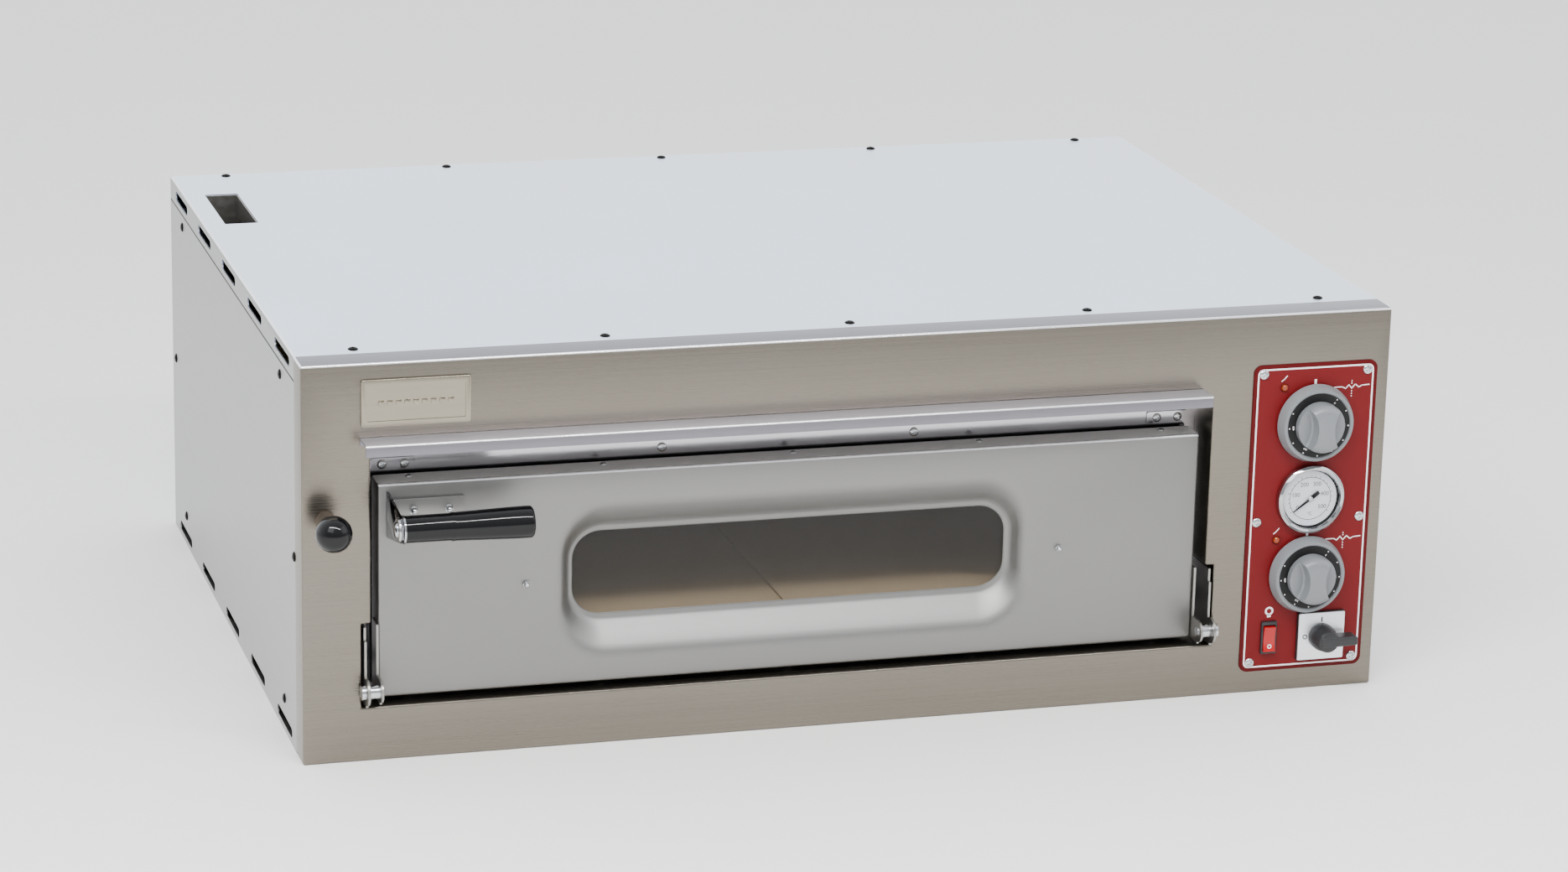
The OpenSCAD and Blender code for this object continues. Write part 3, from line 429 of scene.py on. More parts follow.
# Spun chrome: sharp dark and light rings round the dial and on the handle's end.
chrome = makeLook("brass_spun_chromed", "b4b5b7", 1.0, 0.07, 60, tint=0.02,
                  roughSpread=0.02, bump=0.0)
# Enamelled dial: bluish white, silky.
dialEnamel = makeLook("aluminium_enamelled_white", "dfe3ea", 0.0, 0.4, 300, tint=0.02)
# Clear glass: shows only as a faint reflection.
clearGlass = makeLook("glass_flat_clear", "14181a", 0.0, 0.02, 8, tint=0.01, roughSpread=0.01,
                      bump=0.0, Alpha=0.07, IOR=1.5)
# Tempered window: grey-brown tint over the dark chamber.
windowTint = makeLook("glass_tempered_tinted", "2a2724", 0.0, 0.03, 8, tint=0.05, roughSpread=0.02,
                      bump=0.0, Alpha=0.28, IOR=1.52)
# Borosilicate lamp dome: clear with a milky cast.
lampDome = makeLook("glass_borosilicate_blown", "e6e8e4", 0.0, 0.05, 30, tint=0.02,
                    bump=0.0, Alpha=0.45, IOR=1.47)
# Amber lens: dark orange with a very faint glow of its own.
amberLens = makeLook("polycarbonate_moulded_amber", "7a2a04", 0.0, 0.16, 200, tint=0.12,
                     Emission_Color=(0.45, 0.06, 0.0, 1.0), Emission_Strength=0.15)
# Red rocker: glossy moulding with a clear highlight.
redGloss = makeLook("polycarbonate_moulded_red", "a50a10", 0.0, 0.2, 200, tint=0.04)
# Anodised silver plate: fine-ground, cool grey.
silverPlate = makeLook("aluminium_ground_anodised", "f0f2f6", 1.0, 0.42, (30, 900, 900), tint=0.04)
# Embossed badge: bright pressed aluminium with a warm cast.
badgeMetal = makeLook("aluminium_embossed_bright", "958e80", 1.0, 0.2, (18, 160, 160), tint=0.07,
                      bump=0.00004, second="8a8374")
# Glazed ceramic terminal block: cream, wet-looking.
ceramicBlock = makeLook("steatite_glazed", "dcd2b8", 0.0, 0.25, 100, tint=0.05)
print("materials made")

slotLooks = {
    "brushed_front": brushedSteel, "satin_cover": satinSteel, "galvanised_sheet": zincSheet,
    "door_steel": doorSteel, "polished_steel": brightSteel, "plate_badge": badgeMetal,
    "dark_screws": blackScrew, "zinc_fasteners": zincPlate, "chamber_steel": hotSteel,
    "mineral_wool": woolFelt, "cordierite_stone": firedStone, "element_sheath": elementAlloy,
    "copper_bulb": copperTube, "lamp_dome": lampDome, "red_plate": redFilm, "grey_knob": greyPlastic,
    "black_phenolic": phenolic, "black_nylon": blackNylon, "chrome_bezel": chrome,
    "dial_face": dialEnamel, "dial_glass": clearGlass, "amber_lens": amberLens, "red_rocker": redGloss,
    "switch_silver": silverPlate, "ceramic_block": ceramicBlock, "needle_black": blackInk,
    "window_glass": windowTint,
}
# Side panels and base pan take the side sheet with its painted shade.
nodeLooks = {"side_panels": sideSteelPaintedShade, "flue_duct": hingeSteel, "base_pan": sideSteelPaintedShade,
             "hinge_brackets": hingeSteel, "door_leaves": hingeSteel}
for part in frame["record"]["subparts"]:
    node = frame["nodes"][part["node"]]
    look = nodeLooks.get(part["node"], slotLooks.get(part["material_slot"], firedStone))
    for index in range(max(len(node.data.materials), 1)):
        if index < len(node.data.materials):
            node.data.materials[index] = look
        else:
            node.data.materials.append(look)
print("CAD nodes given materials")

frontLow, frontHigh = boxMm("front_panel")
frontY = frontLow.y
openingBoxes = {o["name"]: [Vector(c) / toMetres for c in o["box_m"]]
                for o in frame["record"]["physics"]["openings"]}


# Folded sheet: a flat face with holes, its outer edges and one hole turned back, bends rounded.
def foldedSheet(outer, holes, turned, outerDepth, gauge, bend):
    shape = bmesh.new()
    rim = outline(shape, outer)
    inner = [outline(shape, hole) for hole in holes]
    every = rim + [edge for loop in inner for edge in loop]
    bmesh.ops.triangle_fill(shape, edges=every, use_beauty=True, normal=(0, 0, 1))
    bmesh.ops.dissolve_limit(shape, angle_limit=0.01, verts=shape.verts, edges=shape.edges)
    for face in shape.faces:
        if face.normal.z < 0:
            face.normal_flip()
    chosen = [(rim[i], outerDepth[i]) for i in range(len(rim)) if outerDepth[i]]
    chosen += [(edge, turned[1]) for edge in (inner[turned[0]] if turned else [])]
    groups = {}
    for edge, depth in chosen:
        groups.setdefault(depth, []).append(edge)
    for depth, edges in groups.items():
        turnDown(shape, edges, depth)
    shape.normal_update()
    faceUp(shape)
    upright = [e for e in shape.edges if e.is_manifold and abs(e.calc_face_angle(0.0)) > 1.0]
    roundOver(shape, upright, bend)
    return thicken(shape, gauge)


# Front fascia: folded sheet with deep reveals round the door opening and slots for the hinges.
fascia = {"gauge": 1.2, "bend": 2.0, "return": 32.0, "reveal": 43.0, "sideGap": 8.0, "underDoor": 5.2,
          "overDoor": 36.4, "slotWide": 8.5, "slotHigh": 77.0, "behindPlate": 9.0, "bushRadius": 8.2,
          "flange": 24.0, "lapShort": 4.0}
doorLow, doorHigh = boxMm("door_outer_panel")
plateLow, plateHigh = boxMm("control_plate")
plateMid, plateSpan = spanMm("control_plate")
bushMid = spanMm("rod_bush")[0]
openX0 = doorLow.x - fascia["sideGap"]
openX1 = doorHigh.x + fascia["sideGap"]
openZ0 = doorLow.z - fascia["underDoor"]
openZ1 = doorHigh.z + fascia["overDoor"]
notchZ = openZ0 + fascia["slotHigh"]
wide = fascia["slotWide"]
doorHole = [(openX0 - wide, openZ0, 0), (openX1 + wide, openZ0, 0), (openX1 + wide, notchZ, 0),
            (openX1, notchZ, 0), (openX1, openZ1, 0), (openX0, openZ1, 0), (openX0, notchZ, 0),
            (openX0 - wide, notchZ, 0)]
inset = fascia["behindPlate"]
plateHole = rectPoints(plateLow.x + inset, plateLow.z + inset, plateHigh.x - inset, plateHigh.z - inset)
sheetShape = foldedSheet(rectPoints(frontLow.x, frontLow.z, frontHigh.x, frontHigh.z),
                         [doorHole, plateHole, circlePoints(bushMid.x, bushMid.z, fascia["bushRadius"])],
                         (0, fascia["reveal"]), [fascia["return"]] * 4, fascia["gauge"], fascia["bend"])
# The return along the top is slot 1, painted darker as shade, and its bends are slot 2, a painted highlight.
for face in sheetShape.faces:
    if face.calc_center_median().y > frontHigh.z - fascia["bend"]:
        face.material_index = 1 if face.normal.y > 0.9 else 2
whole = bmesh.new()
put(whole, sheetShape, frontAt(0, frontY, 0))
# Laps under the top and base sheets, a little longer than the flange so that they reach into the return.
flangeMid = frontY + fascia["return"] + fascia["flange"] / 2
flangeDrop = fascia["gauge"] * 1.5
for z in (frontLow.z + flangeDrop, frontHigh.z - flangeDrop):
    lap = slab(frontHigh.x - frontLow.x - 2 * fascia["lapShort"], fascia["flange"] + 2, fascia["gauge"])
    put(whole, lap, moveTo(0, flangeMid, z - fascia["gauge"] / 2))
finishPiece("fascia", whole, "cabinet", [brushedSteel, returnPaintedShade, foldPaintedHighlight],
            ["front_panel"], crease=40)
print("fascia made")

# Top cover: flat sheet with slotted side edges and the flue mouth cut out.
cover = {"gauge": 1.2, "bend": 1.8, "edge": 23.0, "slotLong": 73.0, "slotWide": 9.0, "slotStart": 58.0,
         "slotPitch": 139.0, "slots": 5, "slotDrop": 11.0, "mouthMargin": 1.5, "joint": 2.0, "past": 5.0}
coverLow, coverHigh = boxMm("top_cover")
mouthLow, mouthHigh = openingBoxes["flue_mouth"]
spread = cover["mouthMargin"]
mouthHole = rectPoints(mouthLow.x - spread, mouthLow.y - spread, mouthHigh.x + spread, mouthHigh.y + spread)
topShape = foldedSheet(rectPoints(coverLow.x, coverLow.y, coverHigh.x, coverHigh.y), [mouthHole], None,
                       [0, cover["edge"], 0, cover["edge"]], cover["gauge"], cover["bend"])
shift(topShape, 0, 0, coverHigh.z)
jointZ = coverHigh.z - cover["edge"] + cover["joint"]
bmesh.ops.bisect_plane(topShape, geom=topShape.verts[:] + topShape.edges[:] + topShape.faces[:],
                       plane_co=(0, 0, jointZ), plane_no=(0, 0, 1))
# Side edges are slot 1, painted darker as shade, their bends slot 2 with a painted highlight, and the lowest
# strip beside the open joint slot 3, a painted shadow of the gap.
for face in topShape.faces:
    if face.calc_center_median().z < jointZ:
        face.material_index = 3
    elif abs(face.normal.x) > 0.1:
        face.material_index = 1 if abs(face.normal.x) > 0.9 else 2
cutters = bmesh.new()
long = coverHigh.x - coverLow.x + 2 * cover["past"]
for i in range(cover["slots"]):
    y = coverLow.y + cover["slotStart"] + cover["slotPitch"] * i
    place = moveTo(coverLow.x - cover["past"], y, coverHigh.z - cover["slotDrop"])
    place = place @ turnBy(90, "Y") @ turnBy(90)
    put(cutters, slab(cover["slotLong"], cover["slotWide"], long, cover["slotWide"] / 2 - 0.02), place)
finishPiece("cover", carve(topShape, cutters), "cabinet",
            [satinSteel, sideSteelPaintedShade, foldPaintedHighlight, jointPaintedShadow], ["top_cover"], crease=40)
print("cover made")


# Screw heads: a domed pan with a cross recess, built for each place it is set down.
def crossHead(radius, height):
    head = lathe([(0, height), (radius * 0.4, height * 0.97), (radius * 0.72, height * 0.8),
                  (radius * 0.93, height * 0.45), (radius, height * 0.15), (radius, 0), (0, 0)], 28)
    long = radius * 1.15
    narrow = radius * 0.26
    cutters = [slab(wide, high, height * 2) for wide, high in ((long, narrow), (narrow, long))]
    return carve(head, *[shift(cutter, 0, 0, height * 0.4) for cutter in cutters])


def hexHead(radius, height):
    head = bmesh.new()
    bmesh.ops.create_cone(head, cap_ends=True, segments=6, radius1=radius, radius2=radius, depth=height)
    shift(head, 0, 0, height / 2)
    rim = [e for e in head.edges if all(v.co.z > height * 0.9 for v in e.verts)]
    roundOver(head, rim, radius * 0.14, 2)
    return head


def acornNut(radius, height):
    nut = hexHead(radius, height * 0.45)
    dome = radius * 0.8
    steps = [(dome * math.cos(a), height * 0.4 + (height * 0.6) * math.sin(a))
             for a in [math.pi / 2 * i / 6 for i in range(6)]]
    put(nut, lathe([(0, height * 0.3), (dome, height * 0.3)] + steps + [(0, height)], 24))
    return nut


def direction(middle, low, high):
    sides = [(middle.x - low.x, Vector((-1, 0, 0))), (high.x - middle.x, Vector((1, 0, 0))),
             (high.z - middle.z, Vector((0, 0, 1))), (high.y - middle.y, Vector((0, 1, 0)))]
    return min(sides, key=lambda item: item[0])[1]


# Cabinet screws: blackened pan heads on the cover and sides, in the places the part has them.
screwHigh = 1.8
whole = bmesh.new()
cabinetLow, cabinetHigh = boxMm("cabinet_screws")
for middle, size in lumps("cabinet_screws"):
    aim = direction(middle, cabinetLow, cabinetHigh)
    axis = max(range(3), key=lambda i: abs(aim[i]))
    wideSize = max(size[i] for i in range(3) if i != axis)
    base = Vector(middle)
    outer = cabinetHigh[axis] if aim[axis] > 0 else cabinetLow[axis]
    base[axis] = outer - aim[axis] * screwHigh
    place = Matrix.Translation(base) @ aim.to_track_quat("Z", "Y").to_matrix().to_4x4()
    turn = Matrix.Rotation(middle.x * 0.7 + middle.y * 0.3, 4, "Z")  # every recess stands its own way
    put(whole, crossHead(wideSize / 2, screwHigh), place @ turn)
finishPiece("cabinetScrews", whole, "cabinet", [blackScrew], ["cabinet_screws"])
print("cabinet screws made")

# Drip hood over the door: folded strip with a hanging lip, a painted highlight on the front fold and a top
# painted lighter as light.
hood = {"gauge": 1.2, "bend": 1.6, "lip": 10.0, "back": 7.0}
hoodHigh = boxMm("drip_hood")[1]
hoodMid, hoodSpan = spanMm("drip_hood")
shape = plainSheet(hoodSpan.x, hoodSpan.y)
turnDown(shape, [e for e in shape.edges if all(v.co.y < 0 for v in e.verts)], hood["lip"])
turnDown(shape, [e for e in shape.edges if all(v.co.y > 0 for v in e.verts)], hood["back"])
roundOver(shape, [e for e in shape.edges if e.is_manifold and e.calc_face_angle(0.0) > 1.0], hood["bend"])
faceUp(shape)
hoodShape = thicken(shape, hood["gauge"])
# Front fold faces take the painted highlight, the flat top the painted light.
for face in hoodShape.faces:
    if 0.15 < face.normal.z < 0.97 and face.normal.y < -0.1:
        face.material_index = 1
    elif face.normal.z > 0.97:
        face.material_index = 2
shift(hoodShape, hoodMid.x, hoodMid.y, hoodHigh.z)
finishPiece("dripHood", hoodShape, "cabinet",
            [hoodSteel, foldPaintedHighlight, hoodTopPaintedLight], ["drip_hood"], crease=40)

# Badge: blank embossed plate with a raised rim and a row of soft dashes instead of a name.
badge = {"thick": 2.2, "rim": 5.0, "rimLift": 0.8, "dashes": 9, "dashWide": 5.4, "dashHigh": 5.0,
         "dashThick": 0.9, "dashRound": 1.4, "dashSoft": 0.8, "sink": 0.1, "pitch": 7.6}
badgeHigh = boxMm("nameplate")[1]
badgeMid, badgeSpan = spanMm("nameplate")
rimSpan = 2 * badge["rim"]
sunk = slab(badgeSpan.x - rimSpan, badgeSpan.z - rimSpan, 8, 1.0)
shift(sunk, 0, 0, badge["thick"])
plate = slab(badgeSpan.x, badgeSpan.z, badge["thick"] + badge["rimLift"], 2.0, 0.7, edgeSteps=3)
plate = carve(plate, sunk)
for i in range(badge["dashes"]):
    x = (i - (badge["dashes"] - 1) / 2) * badge["pitch"]
    dash = slab(badge["dashWide"], badge["dashHigh"], badge["dashThick"], badge["dashRound"],
                badge["dashSoft"], rounding=3)
    put(plate, dash, moveTo(x, 0, badge["thick"] - badge["sink"]))
finishPiece("badge", placed(plate, frontAt(badgeMid.x, badgeHigh.y, badgeMid.z)), "cabinet",
            [badgeMetal], ["nameplate"])
print("hood and badge made")

# Door skin: satin sheet with turned edges and a soft pressed surround sloping in to the window.
# Each ring of the pressing is its width, height, corner radius and depth.
door = {"gauge": 1.0, "bend": 2.2, "edge": 27.0, "cornerSteps": 14,
        "rings": [(446, 150, 51, 0.0), (438, 142, 47, 0.35), (430, 134, 44, 1.5), (424, 125, 41, 4.0),
                  (418, 110, 37, 9.0), (413, 97, 33, 14.0), (409, 89, 31, 17.2), (405, 84, 29, 18.4),
                  (402, 79, 26.5, 18.8), (400, 76, 25, 19.6)]}
glassMid = spanMm("window_glass")[0]
skin = bmesh.new()
loops = []
for ringWide, ringHigh, radius, depth in door["rings"]:
    ring = plainSheet(ringWide, ringHigh)
    roundCorners(ring, radius, door["cornerSteps"])
    shift(ring, glassMid.x, glassMid.z, -depth)
    bmesh.ops.delete(ring, geom=ring.faces[:], context="FACES_ONLY")
    before = len(skin.edges)
    put(skin, ring)
    skin.edges.ensure_lookup_table()
    loops.append(skin.edges[before:])
for outerLoop, innerLoop in zip(loops, loops[1:]):
    bmesh.ops.bridge_loops(skin, edges=list(outerLoop) + list(innerLoop))
rim = outline(skin, rectPoints(doorLow.x, doorLow.z, doorHigh.x, doorHigh.z))
bmesh.ops.triangle_fill(skin, edges=rim + list(loops[0]), use_beauty=True, normal=(0, 0, 1))
turnDown(skin, rim, door["edge"])
faceUp(skin)


def onDoorEdge(vert):
    gaps = (vert.co.x - doorLow.x, vert.co.x - doorHigh.x, vert.co.y - doorLow.z, vert.co.y - doorHigh.z)
    return any(abs(gap) < 0.1 for gap in gaps)


bends = [e for e in skin.edges if e.is_manifold and e.calc_face_angle(0.0) > 1.3
         and any(onDoorEdge(v) for v in e.verts)]
roundOver(skin, bends, door["bend"])
skin = thicken(skin, door["gauge"])
# The turned top edge is slot 1, painted paler as light where the hood shades it, and its bend slot 2, a
# painted highlight.
for face in skin.faces:
    if face.calc_center_median().y <= doorHigh.z - door["bend"]:
        continue
    if face.normal.y > 0.8:
        face.material_index = 1
    if face.normal.z > 0.1 and face.normal.y > 0.15:
        face.material_index = 2
finishPiece("doorSkin", placed(skin, frontAt(0, doorLow.y, 0)), "door",
            [doorSteel, doorEdgePaintedLight, foldPaintedHighlight], ["door_outer_panel"], crease=40)
print("door skin made")

# Door fasteners: two domed nuts on the face, pan heads along the top and bottom edges.
whole = bmesh.new()
for middle, size in lumps("door_fasteners"):
    if middle.z > doorHigh.z - 3 or middle.z < doorLow.z + 3:
        up = 1 if middle.z > glassMid.z else -1
        edgeZ = doorHigh.z if up > 0 else doorLow.z
        height = abs((middle.z + up * size.z / 2) - edgeZ)
        place = moveTo(middle.x, middle.y, edgeZ)
        if up < 0:
            place = place @ Matrix.Rotation(math.pi, 4, "X")
        put(whole, crossHead(size.x / 2, height), place)
    else:
        front = middle.y - size.y / 2
        put(whole, acornNut(size.x / 2, doorLow.y - front), frontAt(middle.x, doorLow.y, middle.z, 20))
finishPiece("doorFasteners", whole, "door", [zincPlate], ["door_fasteners"])

# Frame screws: cross heads on the clip plates and on the strip above the door.
smallScrew = 8.5
thinnestHead = 1.2
whole = bmesh.new()
stripLow = boxMm("chamber_front_frame")[0]
clipLow, clipHigh = boxMm("frame_clips")
for middle, size in lumps("frame_screws"):
    front = middle.y - size.y / 2
    onClip = clipLow.z < middle.z < clipHigh.z and size.x < smallScrew
    high = max((clipLow.y if onClip else stripLow.y) - front, thinnestHead)
    put(whole, crossHead(size.x / 2, high), frontAt(middle.x, front + high, middle.z, 30))
finishPiece("frameScrews", whole, "cabinet", [zincPlate], ["frame_screws"])
print("fasteners made")

# Handle: black turned grip on a steel ferrule, acorn nuts on the bracket's foot.
grip = {"noseShare": 0.84, "endRound": 3.0, "endSteps": 6}
gripLow = boxMm("handle_grip")[0]
gripMid, gripSpan = spanMm("handle_grip")
length = gripSpan.x
bigR = gripSpan.z / 2
smallR = bigR * grip["noseShare"]
endRound = grip["endRound"]
profile = [(0, 0), (smallR * 0.9, 0), (smallR, 0.9), (smallR + 0.1, length * 0.36),
           (smallR + 0.9, length * 0.38), (smallR + 0.6, length * 0.4), (bigR - 0.3, length * 0.78),
           (bigR, length * 0.9)]
profile += [(bigR - endRound + endRound * math.cos(a), length - endRound + endRound * math.sin(a))
            for a in [math.pi / 2 * i / grip["endSteps"] for i in range(grip["endSteps"] + 1)]]
profile += [(bigR * 0.45, length - 0.2), (0, length - 0.6)]
alongX = moveTo(gripLow.x, gripMid.y, gripMid.z) @ turnBy(90, "Y")
finishPiece("grip", placed(lathe(profile, 64), alongX), "door", [phenolic],
            ["handle_grip"], crease=28)

# Handle bracket: a mirror-like tapering fin welded to a satin foot on the door.
fin = {"thick": 2.5, "rise": 17.0, "drop": 24.0, "nose": 10.0, "shoulder": 4.0, "noseHigh": 6.0,
       "shoulderHigh": 11.0, "footHigh": 24.0, "footDrop": 2.0, "bevel": 0.45}
footLow, footHigh = boxMm("handle_bracket")
wallY = doorLow.y
side = [(wallY, fin["rise"]), (wallY - fin["shoulder"], fin["rise"]),
        (gripMid.y - fin["shoulder"], fin["shoulderHigh"]), (gripMid.y - fin["nose"], fin["noseHigh"]),
        (gripMid.y - fin["nose"], -fin["noseHigh"]), (gripMid.y - fin["shoulder"], -fin["shoulderHigh"]),
        (wallY - fin["shoulder"], -fin["drop"]), (wallY, -fin["drop"])]
web = bmesh.new()
web.faces.new([web.verts.new((gripLow.x - fin["thick"], y, gripMid.z + z)) for y, z in side])
growFaces(web, (fin["thick"], 0, 0))
roundOver(web, web.edges[:], fin["bevel"], 2)
footWide = footHigh.x - footLow.x
foot = slab(footWide, fin["footHigh"], fin["thick"], 2.0, 0.6, slotIndex=1)
put(web, foot, frontAt((footLow.x + footHigh.x) / 2, wallY, gripMid.z - fin["footDrop"]))
finishPiece("handleBracket", web, "door", [finSteel, doorSteel], ["handle_bracket"])

# Handle's end: a chromed cap with a slotted screw head, and a collar where the grip begins.
ferruleLow, ferruleHigh = boxMm("handle_ferrule")
ferruleR = (ferruleHigh.z - ferruleLow.z) / 2
finX = gripLow.x - fin["thick"]
headTop = finX - ferruleLow.x
ferrule = {"seat": 2.2, "headShare": 0.66, "collarLong": 1.6, "collarOver": 0.7, "slot": 1.7, "slotDeep": 1.3}
seat = ferrule["seat"]
cap = lathe([(0, seat), (ferruleR * 0.8, seat), (ferruleR * 0.94, seat * 0.8), (ferruleR, seat * 0.3),
             (ferruleR, 0), (0, 0)], 48)
headR = ferruleR * ferrule["headShare"]
head = lathe([(0, headTop), (headR * 0.5, headTop - 0.1), (headR * 0.86, headTop - 0.8),
              (headR, headTop - 1.8), (headR, 1), (0, 1)], 40)
slot = slab(headR * 2.4, ferrule["slot"], 8)
shift(slot, 0, 0, headTop - ferrule["slotDeep"])
put(cap, carve(head, slot))
whole = placed(cap, moveTo(finX, gripMid.y, gripMid.z) @ turnBy(-90, "Y") @ turnBy(35))
collarR = smallR + ferrule["collarOver"]
collar = lathe([(0, 0), (collarR - 0.3, 0), (collarR, 0.4), (collarR, ferrule["collarLong"]),
                (0, ferrule["collarLong"])], 48)
put(whole, collar, alongX)
finishPiece("ferrule", whole, "door", [chrome], ["handle_ferrule"])

# Acorn nuts on the foot, sunk 0.3 mm into it.
footFace = doorLow.y - fin["thick"] + 0.3
whole = bmesh.new()
for middle, size in lumps("handle_nuts"):
    front = middle.y - size.y / 2
    put(whole, acornNut(size.x / 2, footFace - front), frontAt(middle.x, footFace, middle.z, 12))
finishPiece("handleNuts", whole, "door", [zincPlate], ["handle_nuts"])

# Damper ball: polished phenolic ball with a flat where the rod enters.
ballLow, ballHigh = boxMm("damper_knob")
ballMid, ballSpan = spanMm("damper_knob")
ballR = ballSpan.x / 2
flatAt = math.asin(min((ballHigh.y - (ballLow.y + ballR)) / ballR, 0.999))
ballSteps = 22
turns = [-math.pi / 2 + (math.pi / 2 + flatAt) * i / ballSteps for i in range(ballSteps + 1)]
profile = [(ballR * math.cos(a), ballR * math.sin(a)) for a in turns]
profile[0] = (0, -ballR)
profile.append((0, ballR * math.sin(flatAt)))
towardBack = moveTo(ballMid.x, ballLow.y + ballR, ballMid.z) @ turnBy(-90, "X")
finishPiece("damperBall", placed(lathe(profile, 64), towardBack), "damper", [phenolic],
            ["damper_knob"], crease=50)
print("handle and damper ball made")

# Control plate: red printed sheet, darker border, white pinstripe, index ticks and heating signs.
panel = {"thick": 1.5, "radius": 8.0, "stripeInset": 3.6, "stripeWide": 1.5, "border": 3.4, "ink": 0.06,
         "inkSink": 0.08, "tickHigh": 4.4, "tickWide": 2.2, "tickSink": 1.4, "skirtGap": 0.6, "signX": 35.5,
         "signDrop": 4.5, "signLine": 0.9, "lampRise": 8.0, "bulbRise": 9.5}
# Drawn signs: a heating line with a column of dots, and a slash over each lamp.
zigzag = [(-17, -0.6), (-9, -0.6), (-6, -2.4), (-2.8, 1.2), (0, -2.4), (3.4, 1.4), (7, -1.6), (10, 0),
          (17, 0.4)]
zigzagDots = (4.6, -4.8, -7.2, -9.6, 2.6)
slashLine = [(-2.6, -2.2), (-0.4, -0.6), (2.4, 2.6)]
plateW = plateSpan.x
plateH = plateSpan.z
onPlate = frontAt(plateMid.x, plateHigh.y, plateMid.z)
whole = placed(slab(plateW, plateH, panel["thick"] - 0.1, panel["radius"], 0.4, slotIndex=1), onPlate)
innerRed = slab(plateW - 2 * panel["border"], plateH - 2 * panel["border"], 0.05, panel["radius"] - 2.6)
put(whole, innerRed, onPlate @ moveTo(0, 0, panel["thick"] - 0.12))
gap = panel["stripeInset"] + panel["stripeWide"]
loopOuter = slab(plateW - 2 * panel["stripeInset"], plateH - 2 * panel["stripeInset"], panel["ink"],
                 panel["radius"] - 2.6, slotIndex=2)
hollow = slab(plateW - 2 * gap, plateH - 2 * gap, 8, panel["radius"] - 3.6, slotIndex=2)
shift(hollow, 0, 0, -4)
put(whole, carve(loopOuter, hollow), onPlate @ moveTo(0, 0, panel["thick"] - 0.07))
inkAt = panel["thick"] - panel["inkSink"]
lampSpots = lumps("indicator_lamps")
for name in ("upper_knob", "lower_knob"):
    high = boxMm(name)[1]
    centre = spanMm(name)[0]
    x = centre.x - plateMid.x
    z = high.z - plateMid.z + panel["skirtGap"] + panel["tickHigh"] / 2 - panel["tickSink"]
    put(whole, slab(panel["tickWide"], panel["tickHigh"], panel["ink"], slotIndex=2),
        onPlate @ moveTo(x, z, inkAt))
    signZ = high.z - plateMid.z - panel["signDrop"]
    sign = stroke(zigzag, panel["signLine"], panel["ink"], 2)
    for dot in zigzagDots:
        put(sign, slab(0.8, 1.2, panel["ink"], slotIndex=2), moveTo(0, dot, 0))
    put(whole, sign, onPlate @ moveTo(x + panel["signX"], signZ, inkAt))
for middle, size in lampSpots:
    slash = stroke(slashLine, panel["signLine"], panel["ink"], 2)
    put(whole, slash,
        onPlate @ moveTo(middle.x - plateMid.x, middle.z - plateMid.z + panel["lampRise"], inkAt))
rockerLow, rockerHigh = boxMm("rocker_frame")
rockerMid, rockerSpan = spanMm("rocker_frame")
bulbAt = onPlate @ moveTo(rockerMid.x - plateMid.x, rockerHigh.z - plateMid.z + panel["bulbRise"], inkAt)
put(whole, washer(2.4, 4.1, panel["ink"], 28, 2), bulbAt)
put(whole, slab(3.6, 2.6, panel["ink"], 0.6, slotIndex=2), bulbAt @ moveTo(0, -4.6, 0))
finishPiece("controlPlate", whole, "cabinet", [redFilm, redBorder, whiteInk], ["control_plate"])

# Domed cross-head screws of the control plate.
whole = bmesh.new()
for middle, size in lumps("control_plate_screws"):
    front = middle.y - size.y / 2
    put(whole, crossHead(size.x / 2, plateLow.y - front), frontAt(middle.x, plateLow.y, middle.z, middle.z))
finishPiece("plateScrews", whole, "cabinet", [zincPlate], ["control_plate_screws"])
print("control plate made")

# Thermostat knobs: flared grey skirt, black ring with dots and numbers, domed grip scooped on both sides.
knob = {"skirtFront": 33.4, "ringInner": 21.6, "ringOuter": 30.4, "ringHigh": 0.2, "ringDrop": 0.9,
        "skirtHigh": 11.0, "gripR": 22.4, "gripBase": 11.5, "scoopR": 31.0, "scoopAt": 39.5,
        "scoopFloor": 17.0, "scoopPast": 4, "dots": 10, "firstDot": 35, "dotArc": 290, "dotOut": 2.6,
        "dotR": 0.6, "figureHigh": 2.7, "figureIn": 4.0, "figures": ["0", "100", "200", "300", "400"]}


